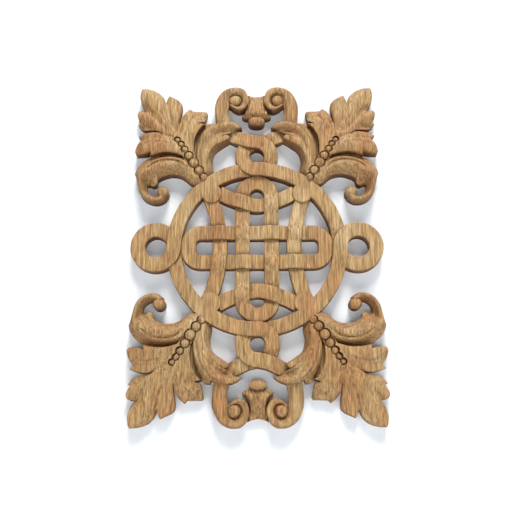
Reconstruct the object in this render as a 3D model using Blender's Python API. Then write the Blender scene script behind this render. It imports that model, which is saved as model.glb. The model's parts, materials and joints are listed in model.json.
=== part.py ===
"""Carved wood applique: a knot of interlaced bands with leaf corners and scroll crests.

Sizes are in millimetres. Points are (x, z) from the middle of the carving, with z up.
The back is flat, at y = 0, and the carving rises from it towards -y.
"""
import math

import bmesh
import bpy
import numpy as np
from mathutils import Vector
from mathutils.geometry import delaunay_2d_cdt

MM = 0.001
ORIGIN_RISE = 15.2          # the origin is on the back of the knot's upper crossbar

# Bands
BAND_HALF = 7.4
BAND_EDGE = 2.2
RING_RADIUS = 83.3
RING_TOP = 12.4
SIDE_RING_CENTRE = 101.6
SIDE_RING_RADIUS = 18.1
LOOP_CENTRE = 97.7
LOOP_RADIUS = 14.4
LOOP_RISE = 16.1
LEAF_ROOT = ((0, 113.8), (10, 115.8), (20, 119.9), (30, 125))
ROOT_UNDER = -5.6
ROOT_REACH = 21.0
RING_OVER = 1.9
RING_UNDER = -4.6
RING_REACH = 17.0
TWIST_REACH = 26.0

# Inner knot
KNOT_TOP = 10.4
KNOT_OVER = 3.0
KNOT_UNDER = -3.2
KNOT_REACH = 13.5
UPRIGHT_X = 14.6
UPRIGHT_END = 54.3
BAR_Z = 15.2
BAR_HALF_LENGTH = 68.8
BAR_CORNER = 11.8
SIDE_ARC_RADIUS = 140.0
SIDE_ARC_X = 37.3
SIDE_ARC_SWEEP = 24.0
CAP_ARC = ((0, 44.4), (7, 45.5), (14.6, 47.8), (22, 50.3), (30, 53.6), (39, 58.5))
BLOB_CENTRE = (46.2, 56.8)
BLOB_RADIUS = 10.5
BLOB_TOP = 12.4

# Beads: x, z, radius, top
BEADS = (
    (82.3, 115.2, 3.0, 14.6),
    (78.3, 110.2, 3.2, 15.0),
    (74.6, 104.3, 3.7, 15.6),
    (70.0, 97.2, 4.4, 16.8),
    (65.0, 88.9, 5.2, 18.2),
    (59.4, 80.9, 4.7, 17.0),
    (54.6, 74.3, 4.0, 14.8),
)
BEAD_CLEARANCE = 1.1
BEAD_FLOOR = 8.6

# Corner leaf: edge runs between its corners, then ridges of x, z, top
LEAF_EDGES = (
    ((50, 71), (53.6, 65.4), (61.4, 73), (70.4, 84.6), (77, 97.4)),
    ((77, 97.4), (85, 100), (93, 101), (101, 100.4), (110.4, 98)),
    ((110.4, 98), (109.8, 102.8)),
    ((109.8, 102.8), (115.4, 101), (125.2, 100.4)),
    ((125.2, 100.4), (126.6, 104), (124, 112), (119.8, 117.4)),
    ((119.8, 117.4), (123.6, 121.2)),
    ((123.6, 121.2), (114, 124.6), (105, 125), (98.5, 122.5)),
    ((98.5, 122.5), (105, 126.4), (115.3, 127.9), (121.8, 131.3), (124.8, 135.6)),
    ((124.8, 135.6), (121.6, 136.6)),
    ((121.6, 136.6), (125.4, 143.6), (125, 148.6), (122, 150.6)),
    ((122, 150.6), (116.8, 151)),
    ((116.8, 151), (121.4, 157), (123.5, 166), (122.9, 172.6), (121.6, 176.4)),
    ((121.6, 176.4), (113.2, 175.6), (105, 172.6), (99, 166.8), (96.4, 160)),
    ((96.4, 160), (92.8, 167.8)),
    ((92.8, 167.8), (84.6, 164.1)),
    ((84.6, 164.1), (82.8, 163.4)),
    ((82.8, 163.4), (78.8, 159.2), (78.6, 150), (80.4, 136.6)),
    ((80.4, 136.6), (78.6, 144), (74.6, 150), (70.2, 153.8)),
    ((70.2, 153.8), (67.4, 151)),
    ((67.4, 151), (53.4, 150.8)),
    ((53.4, 150.8), (51.9, 149), (52.2, 146), (54.4, 135.8)),
    ((54.4, 135.8), (60.6, 133.8)),
    ((60.6, 133.8), (53.2, 132)),
    ((53.2, 132), (55.6, 126), (60.4, 117), (63.6, 108), (64.4, 98)),
    ((64.4, 98), (58, 88), (50, 71)),
)
LEAF_RIDGES = (
    (0.030, (76, 101, 16.4), (90, 106, 17.8), (102, 107.4, 17.0), (114, 107.5, 14.0), (126, 108, 10.4)),
    (0.045, (84, 118, 15.4), (98, 120, 14.8), (112, 121.4, 12.4), (123, 121, 9.6)),
    (0.040, (84, 120, 15.4), (97, 131, 14.6), (108, 139.4, 13.4), (117, 143.4, 12), (126, 146, 10.6)),
    (0.034, (85, 121, 15.0), (95, 139, 13.4), (104, 155, 13.2), (113, 166, 12.4), (123, 176, 10.4)),
    (0.050, (83, 121, 15.0), (86.5, 138, 13.2), (88.0, 150, 12.2), (90.5, 167, 10.4)),
    (0.045, (77, 112, 15.6), (73, 127, 14.4), (71, 139, 11.8), (69.6, 153, 6.6)),
    (0.040, (74, 120, 14.8), (65, 134, 12.8), (57, 149, 6.6)),
    (0.060, (67, 99, 15.2), (64.8, 110, 16.4), (61.0, 120, 17.2), (55, 130, 17.0)),
)
LEAF_FLOOR = 4.6

# Turned leaf towards the middle
TURNED_EDGES = (
    ((45.8, 74), (54, 74), (60, 86), (62.4, 98), (61.2, 109), (56.4, 119), (52.2, 127)),
    ((52.2, 127), (53.6, 133)),
    ((53.6, 133), (50.6, 135.2), (46, 135.8)),
    ((46, 135.8), (44.2, 132.5)),
    ((44.2, 132.5), (36, 136.2), (27, 137), (20, 134.6), (15.2, 130)),
    ((15.2, 130), (22.5, 127.8), (28.5, 123.4), (36.4, 119)),
    ((36.4, 119), (31, 121), (28, 118.4), (27.4, 116)),
    ((27.4, 116), (35.4, 109.6), (42.8, 103.4), (45.6, 93.6), (44.2, 83), (45.8, 74)),
)
TURNED_RIDGES = (
    (0.110, (56, 82, 14.6), (56.4, 95, 15.8), (55.6, 106, 16.8), (53, 116, 17.6), (48.6, 123.4, 17.8),
     (43, 128.4, 17.6), (35, 131.4, 16.6), (26, 132.6, 15), (17, 131, 12.4)),
    (0.035, (55, 84, 15), (52.6, 99, 16.2), (47.6, 109, 16.8), (40, 116.4, 16.2), (29, 118, 14.2)),
    (0.120, (60.6, 104, 14), (57.4, 117, 13.4), (52.6, 129, 12), (50, 135, 10)),
)
TURNED_FLOOR = 6.0
# Slope of its inner side: how wide it is near the ring and at the tip
TURNED_SLOPE = (6.4, 1.6)

# Floor of the groove between the two leaves
GROOVE = ((66, 98), (63, 109), (57, 121), (53.6, 132.6))
GROOVE_HALF = 3.2
GROOVE_TOP = 7.6

# Side curl: outer rail x, z, inner rail x, z, then heights across from the outer rail
CURL = (
    (58.0, 80.0, 54.4, 67.0, 9.0, 9.6, 13.0, 14.6, 14.4, 13.6, 11.2, 9.0),
    (66.0, 91.0, 65.6, 67.0, 8.0, 9.0, 14.0, 16.6, 16.2, 15.2, 13.0, 10.0),
    (75.6, 98.4, 76.9, 75.6, 7.0, 8.2, 14.6, 18.0, 17.6, 16.6, 14.8, 12.0),
    (85.6, 101.2, 87.0, 77.8, 7.0, 8.0, 14.6, 18.5, 18.0, 17.0, 15.4, 12.6),
    (96.0, 101.6, 95.0, 76.2, 7.0, 8.0, 14.0, 18.5, 18.0, 16.8, 15.0, 12.4),
    (106.4, 99.2, 101.4, 72.6, 7.4, 9.0, 14.4, 18.2, 17.4, 15.8, 14.0, 12.0),
    (115.2, 95.0, 102.8, 67.6, 8.0, 10.4, 15.6, 17.4, 16.2, 13.8, 12.6, 11.2),
    (122.4, 88.2, 106.2, 65.4, 8.4, 12.0, 16.6, 16.8, 13.6, 10.8, 10.6, 9.8),
    (125.8, 80.0, 110.2, 67.0, 8.6, 13.0, 16.8, 16.4, 13.4, 9.8, 8.4, 7.2),
    (124.6, 75.4, 112.8, 66.8, 9.2, 13.8, 16.8, 16.6, 14.8, 11.4, 8.6, 7.0),
    (122.6, 67.0, 112.8, 63.4, 9.8, 14.0, 16.6, 16.4, 15.0, 12.2, 9.2, 7.0),
    (120.2, 58.1, 111.8, 59.8, 10.0, 14.0, 16.2, 16.0, 14.8, 12.2, 9.2, 7.0),
    (114.7, 50.9, 108.6, 56.7, 10.0, 13.8, 15.8, 15.6, 14.4, 12.0, 9.2, 7.0),
    (106.2, 47.0, 104.6, 55.1, 10.0, 13.6, 15.4, 15.2, 14.0, 12.0, 9.4, 7.4),
    (98.3, 47.7, 101.4, 55.4, 10.0, 13.4, 15.0, 15.0, 14.2, 12.8, 11.0, 9.4),
    (92.4, 51.7, 98.8, 57.4, 10.0, 13.0, 14.8, 15.0, 14.8, 14.2, 13.4, 12.4),
)
CURL_SPACING = (0.0, 0.12, 0.28, 0.44, 0.58, 0.72, 0.88, 1.0)
CURL_BALL = (96.4, 58.0, 6.2, 15.6)

# Crest scroll: rails as above
SCROLL = (
    (40.0, 128.0, 26.0, 130.0, 9.0, 11.0, 11.0, 9.0),
    (42.9, 138.0, 28.0, 138.6, 9.4, 11.6, 11.6, 9.4),
    (43.9, 147.0, 29.8, 147.0, 9.6, 12.0, 12.0, 9.6),
    (43.8, 156.0, 29.0, 156.0, 9.8, 12.4, 12.4, 10.0),
    (40.6, 165.6, 28.8, 161.6, 10.0, 12.8, 12.4, 9.4),
    (35.0, 173.0, 26.8, 166.0, 10.0, 13.0, 12.2, 9.0),
    (27.2, 176.8, 23.6, 168.0, 10.0, 13.2, 12.2, 9.0),
    (19.0, 177.1, 20.2, 167.8, 10.2, 13.4, 12.4, 9.0),
    (12.3, 172.9, 17.4, 166.0, 10.4, 13.6, 12.6, 9.2),
    (9.0, 165.4, 15.8, 163.0, 10.6, 13.8, 12.8, 9.4),
    (8.8, 158.0, 15.6, 159.8, 10.8, 14.0, 12.8, 9.6),
    (12.2, 151.8, 17.2, 156.8, 11.0, 14.2, 12.8, 9.6),
    (18.0, 149.2, 20.4, 155.0, 11.0, 14.0, 12.6, 9.4),
    (24.2, 151.8, 23.6, 156.0, 10.6, 12.8, 12.0, 9.0),
    (28.6, 156.4, 26.4, 158.2, 10.0, 11.2, 10.8, 8.8),
)
SCROLL_SPACING = (0.0, 0.22, 0.74, 1.0)
SCROLL_EYE = (22.3, 161.2, 6.4, 14.4)
SCROLL_EYE_BED = (22.3, 161.2, 8.4, 8.6)

# Crest shell
SHELL_EDGES = (
    ((0, 139), (8, 140), (13, 140.6), (15.4, 142.8)),
    ((15.4, 142.8), (14.4, 146), (10.6, 150.6), (8.2, 157), (8, 163), (10.6, 171.4)),
    ((10.6, 171.4), (5.6, 169.2), (0, 168.2)),
)
SHELL_TOP = 12.8
SHELL_END_TOP = 5.6
SHELL_FLUTES = 5
SHELL_FLUTE_DEPTH = 0.9
KNOB = (0.0, 138.4, 8.9, 6.2, 15.4)
SHELL_WEB = ((-12, 151), (12, 151), (13.5, 159), (11.5, 167.4), (-11.5, 167.4), (-13.5, 159))
SHELL_WEB_TOP = 5.0

# Bare sanded oak
OAK_COLOUR = (0.50, 0.32, 0.16)
OAK_ROUGHNESS = 0.55

# Detail of the faceted form
ARC_STEP = 9.0
TURN_STEP = 22.5
LEAF_STEP = 7.2
EDGE_STEP = 6.5
BEAD_SIDES = 8
FACET_SHARE = 0.765
SLIVER = 0.00003
CURL_PICK = (0, 2, 3, 5, 7)     # which of the curl's heights the facets follow
DISC_SIDES = 14


def row_point(x, top, z):
    """Point of the row's frame for a place on the carving and a height above the back."""
    return Vector((x * MM, -top * MM, (z - ORIGIN_RISE) * MM))


def new_object(bm, name):
    """Object from a closed bmesh with its faces turned outward."""
    bmesh.ops.recalc_face_normals(bm, faces=bm.faces)
    mesh = bpy.data.meshes.new(name)
    bm.to_mesh(mesh)
    bm.free()
    item = bpy.data.objects.new(name, mesh)
    bpy.context.scene.collection.objects.link(item)
    return item


def loft(name, rings):
    """Closed solid through equal rings of (x, height, z) points."""
    bm = bmesh.new()
    layers = [[bm.verts.new(row_point(*p)) for p in ring] for ring in rings]
    count = len(layers[0])
    for first, second in zip(layers, layers[1:]):
        for j in range(count):
            k = (j + 1) % count
            bm.faces.new((first[j], first[k], second[k], second[j]))
    bm.faces.new(layers[0])
    bm.faces.new(list(reversed(layers[-1])))
    return new_object(bm, name)


def arc(cx, cz, radius, start, end, step):
    """Points on an arc from one angle to another, in degrees."""
    count = max(1, math.ceil(abs(end - start) / step))
    angles = [math.radians(start + (end - start) * i / count) for i in range(count + 1)]
    return [(cx + radius * math.cos(t), cz + radius * math.sin(t)) for t in angles]


def line(start, end, step):
    """Points on a straight line."""
    length = math.hypot(end[0] - start[0], end[1] - start[1])
    count = max(1, math.ceil(length / step))
    return [
        (start[0] + (end[0] - start[0]) * i / count, start[1] + (end[1] - start[1]) * i / count)
        for i in range(count + 1)
    ]


def join(*runs):
    """One path from runs that meet end to end."""
    path = []
    for run in runs:
        for point in run:
            if not path or math.dist(point, path[-1]) > 0.6:
                path.append(point)
    return path


def smooth_run(points, step):
    """Curve through the points, with new points about one step apart."""
    pts = np.array(points, float)
    if len(pts) < 3:
        return [tuple(p) for p in pts]
    ends = np.vstack([2 * pts[0] - pts[1], pts, 2 * pts[-1] - pts[-2]])
    out = []
    for i in range(1, len(ends) - 2):
        p0, p1, p2, p3 = ends[i - 1:i + 3]
        count = max(1, round(float(np.linalg.norm((p2 - p1)[:2])) / step))
        for k in range(count):
            t = k / count
            out.append(tuple(0.5 * (
                2 * p1 + (p2 - p0) * t
                + (2 * p0 - 5 * p1 + 4 * p2 - p3) * t ** 2
                + (3 * p1 - p0 - 3 * p2 + p3) * t ** 3
            )))
    out.append(tuple(pts[-1]))
    return out


def fade(distance, reach):
    """One at no distance, nought at the reach and beyond, with soft ends."""
    t = min(1.0, distance / reach)
    return 1 - t * t * (3 - 2 * t)


def tops_along(path, top, crossings):
    """Height at each point of a band: raised where it passes over, sunk where it passes under."""
    tops = []
    for point in path:
        height = top
        for x, z, change, reach in crossings:
            height += change * fade(math.dist(point, (x, z)), reach)
        tops.append(height)
    return tops


def section(half, top, depth):
    """Across a band: upright sides and eased edges."""
    edge = BAND_EDGE
    return (
        (-half, -depth), (-half, top - edge), (-half + edge, top - 0.3),
        (half - edge, top - 0.3), (half, top - edge), (half, -depth),
    )


def band(name, path, tops, depth, slim=(0, 0), half=BAND_HALF):
    """Band along a path; slim narrows an end that is hidden under another band."""
    rings = []
    last = len(path) - 1
    for i, (x, z) in enumerate(path):
        before = path[max(0, i - 1)]
        after = path[min(last, i + 1)]
        length = math.dist(before, after)
        nx = -(after[1] - before[1]) / length
        nz = (after[0] - before[0]) / length
        width = half
        if (i == 0 and slim[0]) or (i == last and slim[1]):
            width = half - 0.35
        rings.append([(x + u * nx, top, z + u * nz) for u, top in section(width, tops[i], depth)])
    return loft(name, rings)


def turned(path):
    """Path turned half round the middle."""
    return [(-x, -z) for x, z in path]


def both_ways(name, path, top, crossings, depth, slim):
    """A band and its twin, turned half round the middle."""
    tops = tops_along(path, top, crossings)
    return [
        band(name + " a", path, tops, depth, slim),
        band(name + " b", turned(path), tops, depth + 0.07, slim),
    ]


def loop_path(turn):
    """Loop over the ring, from its top round the left side down to the ring."""
    path = arc(0, 0, LOOP_RADIUS, 90, 270, turn)
    return [(x, LOOP_CENTRE + (z * LOOP_RISE / LOOP_RADIUS if z > 0 else z)) for x, z in path]


def ring_strands():
    """Big ring, side rings and figure-eight loops, as bands that weave over and under."""
    ring = RING_RADIUS
    high = (0, LOOP_CENTRE + LOOP_RISE)
    low = (0, ring)
    side = (ring, 0)
    far = SIDE_RING_CENTRE
    root = smooth_run(LEAF_ROOT, 6.0)
    over, under = RING_OVER, RING_UNDER
    near, wide = RING_REACH, TWIST_REACH
    step, turn = ARC_STEP, TURN_STEP
    parts = []
    path = list(reversed(root))
    tip = (*LEAF_ROOT[-1], ROOT_UNDER, ROOT_REACH)
    parts += both_ways("root", path, RING_TOP, ((*high, under, near), tip), 1.0, (0, 1))
    path = join(loop_path(turn), arc(0, 0, ring, 90, 0, step))
    marks = ((*high, under, near), (*low, over, near), (*side, under, wide))
    parts += both_ways("upper quarter", path, RING_TOP, marks, 1.15, (1, 1))
    path = arc(far, 0, SIDE_RING_RADIUS, 180, 368, turn)
    parts += both_ways("side ring foot", path, RING_TOP, ((*side, under, wide),), 1.3, (1, 1))
    path = join(
        arc(far, 0, SIDE_RING_RADIUS, 0, 180, turn),
        arc(0, 0, ring, 0, -90, step),
    )
    marks = ((*side, over, wide), (low[0], -low[1], under, near))
    parts += both_ways("lower quarter", path, RING_TOP, marks, 1.45, (0, 1))
    path = join([(x, -z) for x, z in reversed(loop_path(turn))], [(x, -z) for x, z in root])
    tip = (LEAF_ROOT[-1][0], -LEAF_ROOT[-1][1], ROOT_UNDER, ROOT_REACH)
    marks = ((low[0], -low[1], under, near), (high[0], -high[1], over, near), tip)
    parts += both_ways("lower loop", path, RING_TOP, marks, 1.6, (1, 0))
    return parts


def knot_strands():
    """Uprights, crossbars and the four arcs inside the ring."""
    up, bar, end = UPRIGHT_X, BAR_Z, UPRIGHT_END
    over, under, reach = KNOT_OVER, KNOT_UNDER, KNOT_REACH
    swing = math.degrees(math.asin(bar / SIDE_ARC_RADIUS))
    side_x = SIDE_ARC_X + SIDE_ARC_RADIUS * (1 - math.cos(math.radians(swing)))
    cap = len(CAP_ARC) // 2 - 1
    cap_z = CAP_ARC[cap][1]
    step, turn = ARC_STEP, TURN_STEP
    top = KNOT_TOP
    parts = []

    def mark(x, z, change):
        return (x, z, change, reach)

    path = join(
        line((-up, cap_z), (-up, end), step), arc(0, end, up, 180, 0, turn),
        line((up, end), (up, cap_z), step), line((up, cap_z), (up, bar), step),
    )
    marks = (mark(-up, cap_z, under), mark(up, cap_z, over), mark(up, bar, under))
    parts += both_ways("upright end", path, top, marks, 1.05, (1, 1))
    path = join(
        line((up, bar), (up, -bar), step),
        line((up, -bar), (up, -cap_z), step),
    )
    marks = (mark(up, bar, under), mark(up, -bar, over), mark(up, -cap_z, under))
    parts += both_ways("upright", path, top, marks, 1.2, (1, 1))

    reach_x = BAR_HALF_LENGTH - BAR_CORNER
    reach_z = bar - BAR_CORNER
    path = join(
        line((-up, bar), (-side_x, bar), step), line((-side_x, bar), (-reach_x, bar), step),
        arc(-reach_x, reach_z, BAR_CORNER, 90, 180, 22.5),
        arc(-reach_x, -reach_z, BAR_CORNER, 180, 270, 22.5),
        line((-reach_x, -bar), (-side_x, -bar), step),
    )
    marks = (mark(-up, bar, under), mark(-side_x, bar, over), mark(-side_x, -bar, under))
    parts += both_ways("bar end", path, top, marks, 1.35, (1, 1))
    path = join(
        line((-side_x, -bar), (-up, -bar), step),
        line((-up, -bar), (up, -bar), step),
    )
    marks = (mark(-side_x, -bar, under), mark(-up, -bar, over), mark(up, -bar, under))
    parts += both_ways("bar", path, top, marks, 1.5, (1, 1))

    centre = -SIDE_ARC_X - SIDE_ARC_RADIUS
    fine = 4.5
    path = arc(centre, 0, SIDE_ARC_RADIUS, SIDE_ARC_SWEEP, swing, fine)
    parts += both_ways("side arc end", path, top, (mark(-side_x, bar, under),), 1.65, (0, 1))
    path = join(
        arc(centre, 0, SIDE_ARC_RADIUS, swing, -swing, fine),
        arc(centre, 0, SIDE_ARC_RADIUS, -swing, -SIDE_ARC_SWEEP, fine),
    )
    marks = (mark(-side_x, bar, under), mark(-side_x, -bar, over))
    parts += both_ways("side arc", path, top, marks, 1.8, (1, 0))

    left = [(-x, z) for x, z in reversed(CAP_ARC[1:])]
    path = smooth_run(left + list(CAP_ARC), 6.0)
    cross = min(range(len(path)), key=lambda i: math.dist(path[i], (up, cap_z)))
    marks = (mark(-up, cap_z, over), mark(up, cap_z, under))
    parts += both_ways("cap arc", path[:cross + 1], top, marks, 1.1, (0, 1))
    parts += both_ways("cap arc end", path[cross:], top, (mark(up, cap_z, under),), 1.25, (1, 0))
    return parts


def dome(name, x, z, wide, tall, top, depth, sides, fall=0.75):
    """Rounded boss on an upright round foot."""
    rings = []
    for share, drop in ((1.0, None), (1.0, fall), (0.62, 0.14)):
        height = -depth if drop is None else top - drop * min(wide, tall)
        rings.append([
            (x + share * wide * math.cos(2 * math.pi * i / sides), height,
             z + share * tall * math.sin(2 * math.pi * i / sides))
            for i in range(sides)
        ])
    return loft(name, rings)


def disc(name, x, z, radius, top, depth, sides, edge=1.6):
    """Flat round boss with an eased edge."""
    rings = []
    for share, height in ((radius, -depth), (radius, top - edge), (radius - edge, top - 0.2)):
        rings.append([
            (x + share * math.cos(2 * math.pi * (i + 0.5) / sides), height,
             z + share * math.sin(2 * math.pi * (i + 0.5) / sides))
            for i in range(sides)
        ])
    return loft(name, rings)


def strip(name, stations, spacing, step, depth, sx, sz):
    """Solid between two rails, with its height given across it at each station."""
    rings = []
    for values in smooth_run(stations, step):
        outer = np.array(values[0:2])
        inner = np.array(values[2:4])
        heights = values[4:]
        ring = [(outer[0], -depth, outer[1])]
        for share, height in zip(spacing, heights):
            place = outer + (inner - outer) * share
            ring.append((place[0], height, place[1]))
        ring.append((inner[0], -depth, inner[1]))
        rings.append([(sx * x, top, sz * z) for x, top, z in ring])
    return loft(name, rings)


def ridge_heights(points, ridges, floor):
    """Height at each point under rounded ridges, each given as its fall and then its course."""
    pts = np.asarray(points, float)
    best = np.full((len(ridges), len(pts)), -1e9)
    for n, (fall, *course) in enumerate(ridges):
        line_pts = np.array(course, float)
        for start, end in zip(line_pts, line_pts[1:]):
            run = end[:2] - start[:2]
            t = np.clip(((pts - start[:2]) @ run) / (run @ run), 0, 1)
            away = np.linalg.norm(pts - start[:2] - t[:, None] * run, axis=1)
            height = start[2] + (end[2] - start[2]) * t - fall * away ** 2
            best[n] = np.maximum(best[n], height)
    soft = 0.7
    peak = best.max(axis=0)
    total = peak + soft * np.log(np.exp((best - peak) / soft).sum(axis=0))
    return np.maximum(total - 0.3, floor)


def edge_points(edges, step):
    """Closed outline from runs of points between corners."""
    outline = []
    for run in edges:
        outline += smooth_run(run, step)[:-1]
    return outline


def inside(points, outline):
    """Which of the points lie inside the outline."""
    x, z = points[:, 0], points[:, 1]
    result = np.zeros(len(points), bool)
    for (ax, az), (bx, bz) in zip(outline, outline[1:] + outline[:1]):
        if az == bz:
            continue
        crosses = (az > z) != (bz > z)
        at = ax + (z - az) * (bx - ax) / (bz - az)
        result ^= crosses & (x < at)
    return result


def edge_distance(points, outline, closed=True):
    """Distance from each point to the outline."""
    result = np.full(len(points), 1e9)
    ends = outline[1:] + outline[:1] if closed else outline[1:]
    for a, b in zip(outline, ends):
        a, b = np.array(a), np.array(b)
        run = b - a
        t = np.clip(((points - a) @ run) / max(run @ run, 1e-12), 0, 1)
        result = np.minimum(result, np.linalg.norm(points - a - t[:, None] * run, axis=1))
    return result


def patch(name, outline, height_at, step, depth, sx, sz):
    """Solid with an upright edge along the outline and a carved top."""
    xs = [p[0] for p in outline]
    zs = [p[1] for p in outline]
    rows = []
    count = 0
    z = min(zs) + step * 0.5
    while z < max(zs):
        x = min(xs) + step * (0.5 if count % 2 else 0.0)
        while x < max(xs):
            rows.append((x, z))
            x += step
        z += step * 0.866
        count += 1
    grid = np.array(rows)
    grid = grid[inside(grid, outline)]
    grid = grid[edge_distance(grid, outline) > step * 0.45]
    points = [Vector(p) for p in outline] + [Vector(p) for p in grid]
    loop = list(range(len(outline)))
    found = delaunay_2d_cdt(points, [], [loop], 1, 1e-5)
    flat = np.array([(v.x, v.y) for v in found[0]])
    tops = height_at(flat)
    bm = bmesh.new()
    upper = [bm.verts.new(row_point(sx * x, h, sz * z)) for (x, z), h in zip(flat, tops)]
    for face in found[2]:
        bm.faces.new([upper[i] for i in face])
    bm.edges.ensure_lookup_table()
    rim = [e for e in bm.edges if len(e.link_faces) == 1]
    lower = {}
    for edge in rim:
        for vert in edge.verts:
            if vert not in lower:
                spot = vert.co.copy()
                spot.y = depth * MM
                lower[vert] = bm.verts.new(spot)
    base = []
    for edge in rim:
        a, b = edge.verts
        bm.faces.new((a, b, lower[b], lower[a]))
        base.append(bm.edges.get((lower[a], lower[b])))
    bmesh.ops.contextual_create(bm, geom=base)
    return new_object(bm, name)


def shell_top(points):
    """Fluted shell: falls away towards its free end."""
    x, z = points[:, 0], points[:, 1]
    t = np.clip((z - 146) / 22, 0, 1)
    top = SHELL_TOP + (SHELL_END_TOP - SHELL_TOP) * t ** 1.4
    rise = np.clip((z - 140) / 6, 0, 1)
    top = top - (1 - rise) * 3.6 - np.clip(np.abs(x) - 8, 0, 8) * (1 - t) * 0.5
    width = 9.0
    return top + SHELL_FLUTE_DEPTH * 0.5 * np.cos(x / width * math.pi * SHELL_FLUTES)


def turned_top(points):
    """Top of the turned leaf, with a slope down to its inner side."""
    top = ridge_heights(points, TURNED_RIDGES, TURNED_FLOOR)
    away = edge_distance(points, smooth_run(TURNED_EDGES[-1], EDGE_STEP), closed=False)
    reach = np.clip((points[:, 1] - 86) / 28, 0, 1)
    width = TURNED_SLOPE[0] + (TURNED_SLOPE[1] - TURNED_SLOPE[0]) * reach
    rise = np.clip(away / width, 0, 1)
    return 4 + (top - 4) * (0.1 + 0.9 * rise ** 0.8)


def corner_parts(sx, sz, offset):
    """Leaf, turned leaf, curl and the floors between them for one corner."""
    leaf = edge_points(LEAF_EDGES, EDGE_STEP)
    inner = edge_points(TURNED_EDGES, EDGE_STEP)
    groove = [(sx * x, sz * z) for x, z in smooth_run(GROOVE, EDGE_STEP)]
    x, z, radius, top = CURL_BALL
    heights = [row[:4] + tuple(row[4 + i] for i in CURL_PICK) for row in CURL]
    spacing = [CURL_SPACING[i] for i in CURL_PICK]
    parts = [
        patch("leaf", leaf, lambda p: ridge_heights(p, LEAF_RIDGES, LEAF_FLOOR),
              LEAF_STEP, 1.02 + offset, sx, sz),
        patch("turned leaf", inner, turned_top, LEAF_STEP * 0.85, 1.17 + offset, sx, sz),
        band("groove floor", groove, [GROOVE_TOP] * len(groove), 1.32 + offset, half=GROOVE_HALF),
        strip("curl", heights, spacing, 8.0, 1.47 + offset, sx, sz),
        dome("curl ball", sx * x, sz * z, radius, radius, top, 1.62 + offset, 12),
    ]
    return parts


def bead_channel(sx, sz):
    """Cutter for the sunk channel that the beads stand in."""
    first = BEADS[0]
    second = BEADS[1]
    away = math.dist(first[:2], second[:2])
    ux, uz = (first[0] - second[0]) / away, (first[1] - second[1]) / away
    lead = first[2] + BEAD_CLEARANCE
    stations = []
    for share, width in ((1.0, 0.35), (0.8, 0.68), (0.4, 0.95)):
        stations.append((first[0] + ux * lead * share, first[1] + uz * lead * share, lead * width))
    stations += [(x, z, radius + BEAD_CLEARANCE) for x, z, radius, _ in BEADS]
    stations.append((48.0, 65.0, 4.6))
    rings = []
    for i, (x, z, half) in enumerate(stations):
        before = stations[max(0, i - 1)]
        after = stations[min(len(stations) - 1, i + 1)]
        length = math.dist(before[:2], after[:2])
        nx, nz = -(after[1] - before[1]) / length, (after[0] - before[0]) / length
        rings.append([
            (sx * (x + u * half * nx), height, sz * (z + u * half * nz))
            for u, height in ((-1, BEAD_FLOOR), (-1, 30), (1, 30), (1, BEAD_FLOOR))
        ])
    return loft("channel", rings)


def bead_parts(sx, sz, offset):
    """String of beads of one corner."""
    return [
        dome("bead", sx * x, sz * z, radius, radius, top, 1.1 + offset + 0.04 * i, BEAD_SIDES)
        for i, (x, z, radius, top) in enumerate(BEADS)
    ]


def crest_parts(sz, offset):
    """Two scrolls with their eyes, the shell and its knob."""
    parts = []
    for sx in (-1, 1):
        lift = offset + 0.03 * sx
        x, z, radius, top = SCROLL_EYE
        parts.append(strip("scroll", SCROLL, SCROLL_SPACING, 9.0, 1.2 + lift, sx, sz))
        parts.append(dome("scroll eye", sx * x, sz * z, radius, radius, top, 1.36 + lift, 12, 0.4))
        x, z, radius, top = SCROLL_EYE_BED
        parts.append(disc("scroll eye bed", sx * x, sz * z, radius, top, 1.5 + lift, 12, 0.4))
    right = edge_points(SHELL_EDGES, EDGE_STEP)
    outline = right + [SHELL_EDGES[-1][-1]]
    outline += [(-x, z) for x, z in reversed(right) if x > 0.01]
    parts.append(patch("shell", outline, shell_top, 4.2, 1.62 + offset, 1, sz))
    web = []
    for height in (-1.88 - offset, SHELL_WEB_TOP):
        web.append([(x, height, sz * z) for x, z in SHELL_WEB])
    parts.append(loft("shell web", web))
    x, z, wide, tall, top = KNOB
    parts.append(dome("shell knob", x, sz * z, wide, tall, top, 1.75 + offset, 12, 0.9))
    return parts


def drop_slivers(item):
    """Closes up the needle-thin faces that a join leaves."""
    bm = bmesh.new()
    bm.from_mesh(item.data)
    bmesh.ops.triangulate(bm, faces=[f for f in bm.faces if len(f.verts) > 4])
    bmesh.ops.dissolve_degenerate(bm, dist=SLIVER, edges=list(bm.edges))
    bm.to_mesh(item.data)
    bm.free()


def combine(base, others, operation):
    """Exact Boolean of one object with several others, which are then removed."""
    group = bpy.data.collections.new("operands")
    bpy.context.scene.collection.children.link(group)
    for item in others:
        for owner in list(item.users_collection):
            owner.objects.unlink(item)
        group.objects.link(item)
    step = base.modifiers.new(operation.lower(), "BOOLEAN")
    step.operation = operation
    step.operand_type = "COLLECTION"
    step.collection = group
    step.solver = "EXACT"
    graph = bpy.context.evaluated_depsgraph_get()
    mesh = bpy.data.meshes.new_from_object(base.evaluated_get(graph))
    base.modifiers.clear()
    base.data = mesh
    drop_slivers(base)
    for item in others:
        bpy.data.objects.remove(item)
    bpy.data.collections.remove(group)
    return base


def back_cutter():
    """Box behind the back plane, wider than the carving."""
    side = 300.0
    rings = []
    for height in (0.0, -40.0):
        rings.append([(x, height, z) for x, z in
                      ((-side, -side), (side, -side), (side, side), (-side, side))])
    return loft("back cutter", rings)


def thin_out(item):
    """Removes the slivers that the joins leave, down to the share of facets to keep."""
    step = item.modifiers.new("thin out", "DECIMATE")
    step.ratio = FACET_SHARE
    graph = bpy.context.evaluated_depsgraph_get()
    mesh = bpy.data.meshes.new_from_object(item.evaluated_get(graph))
    item.modifiers.clear()
    item.data = mesh


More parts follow.
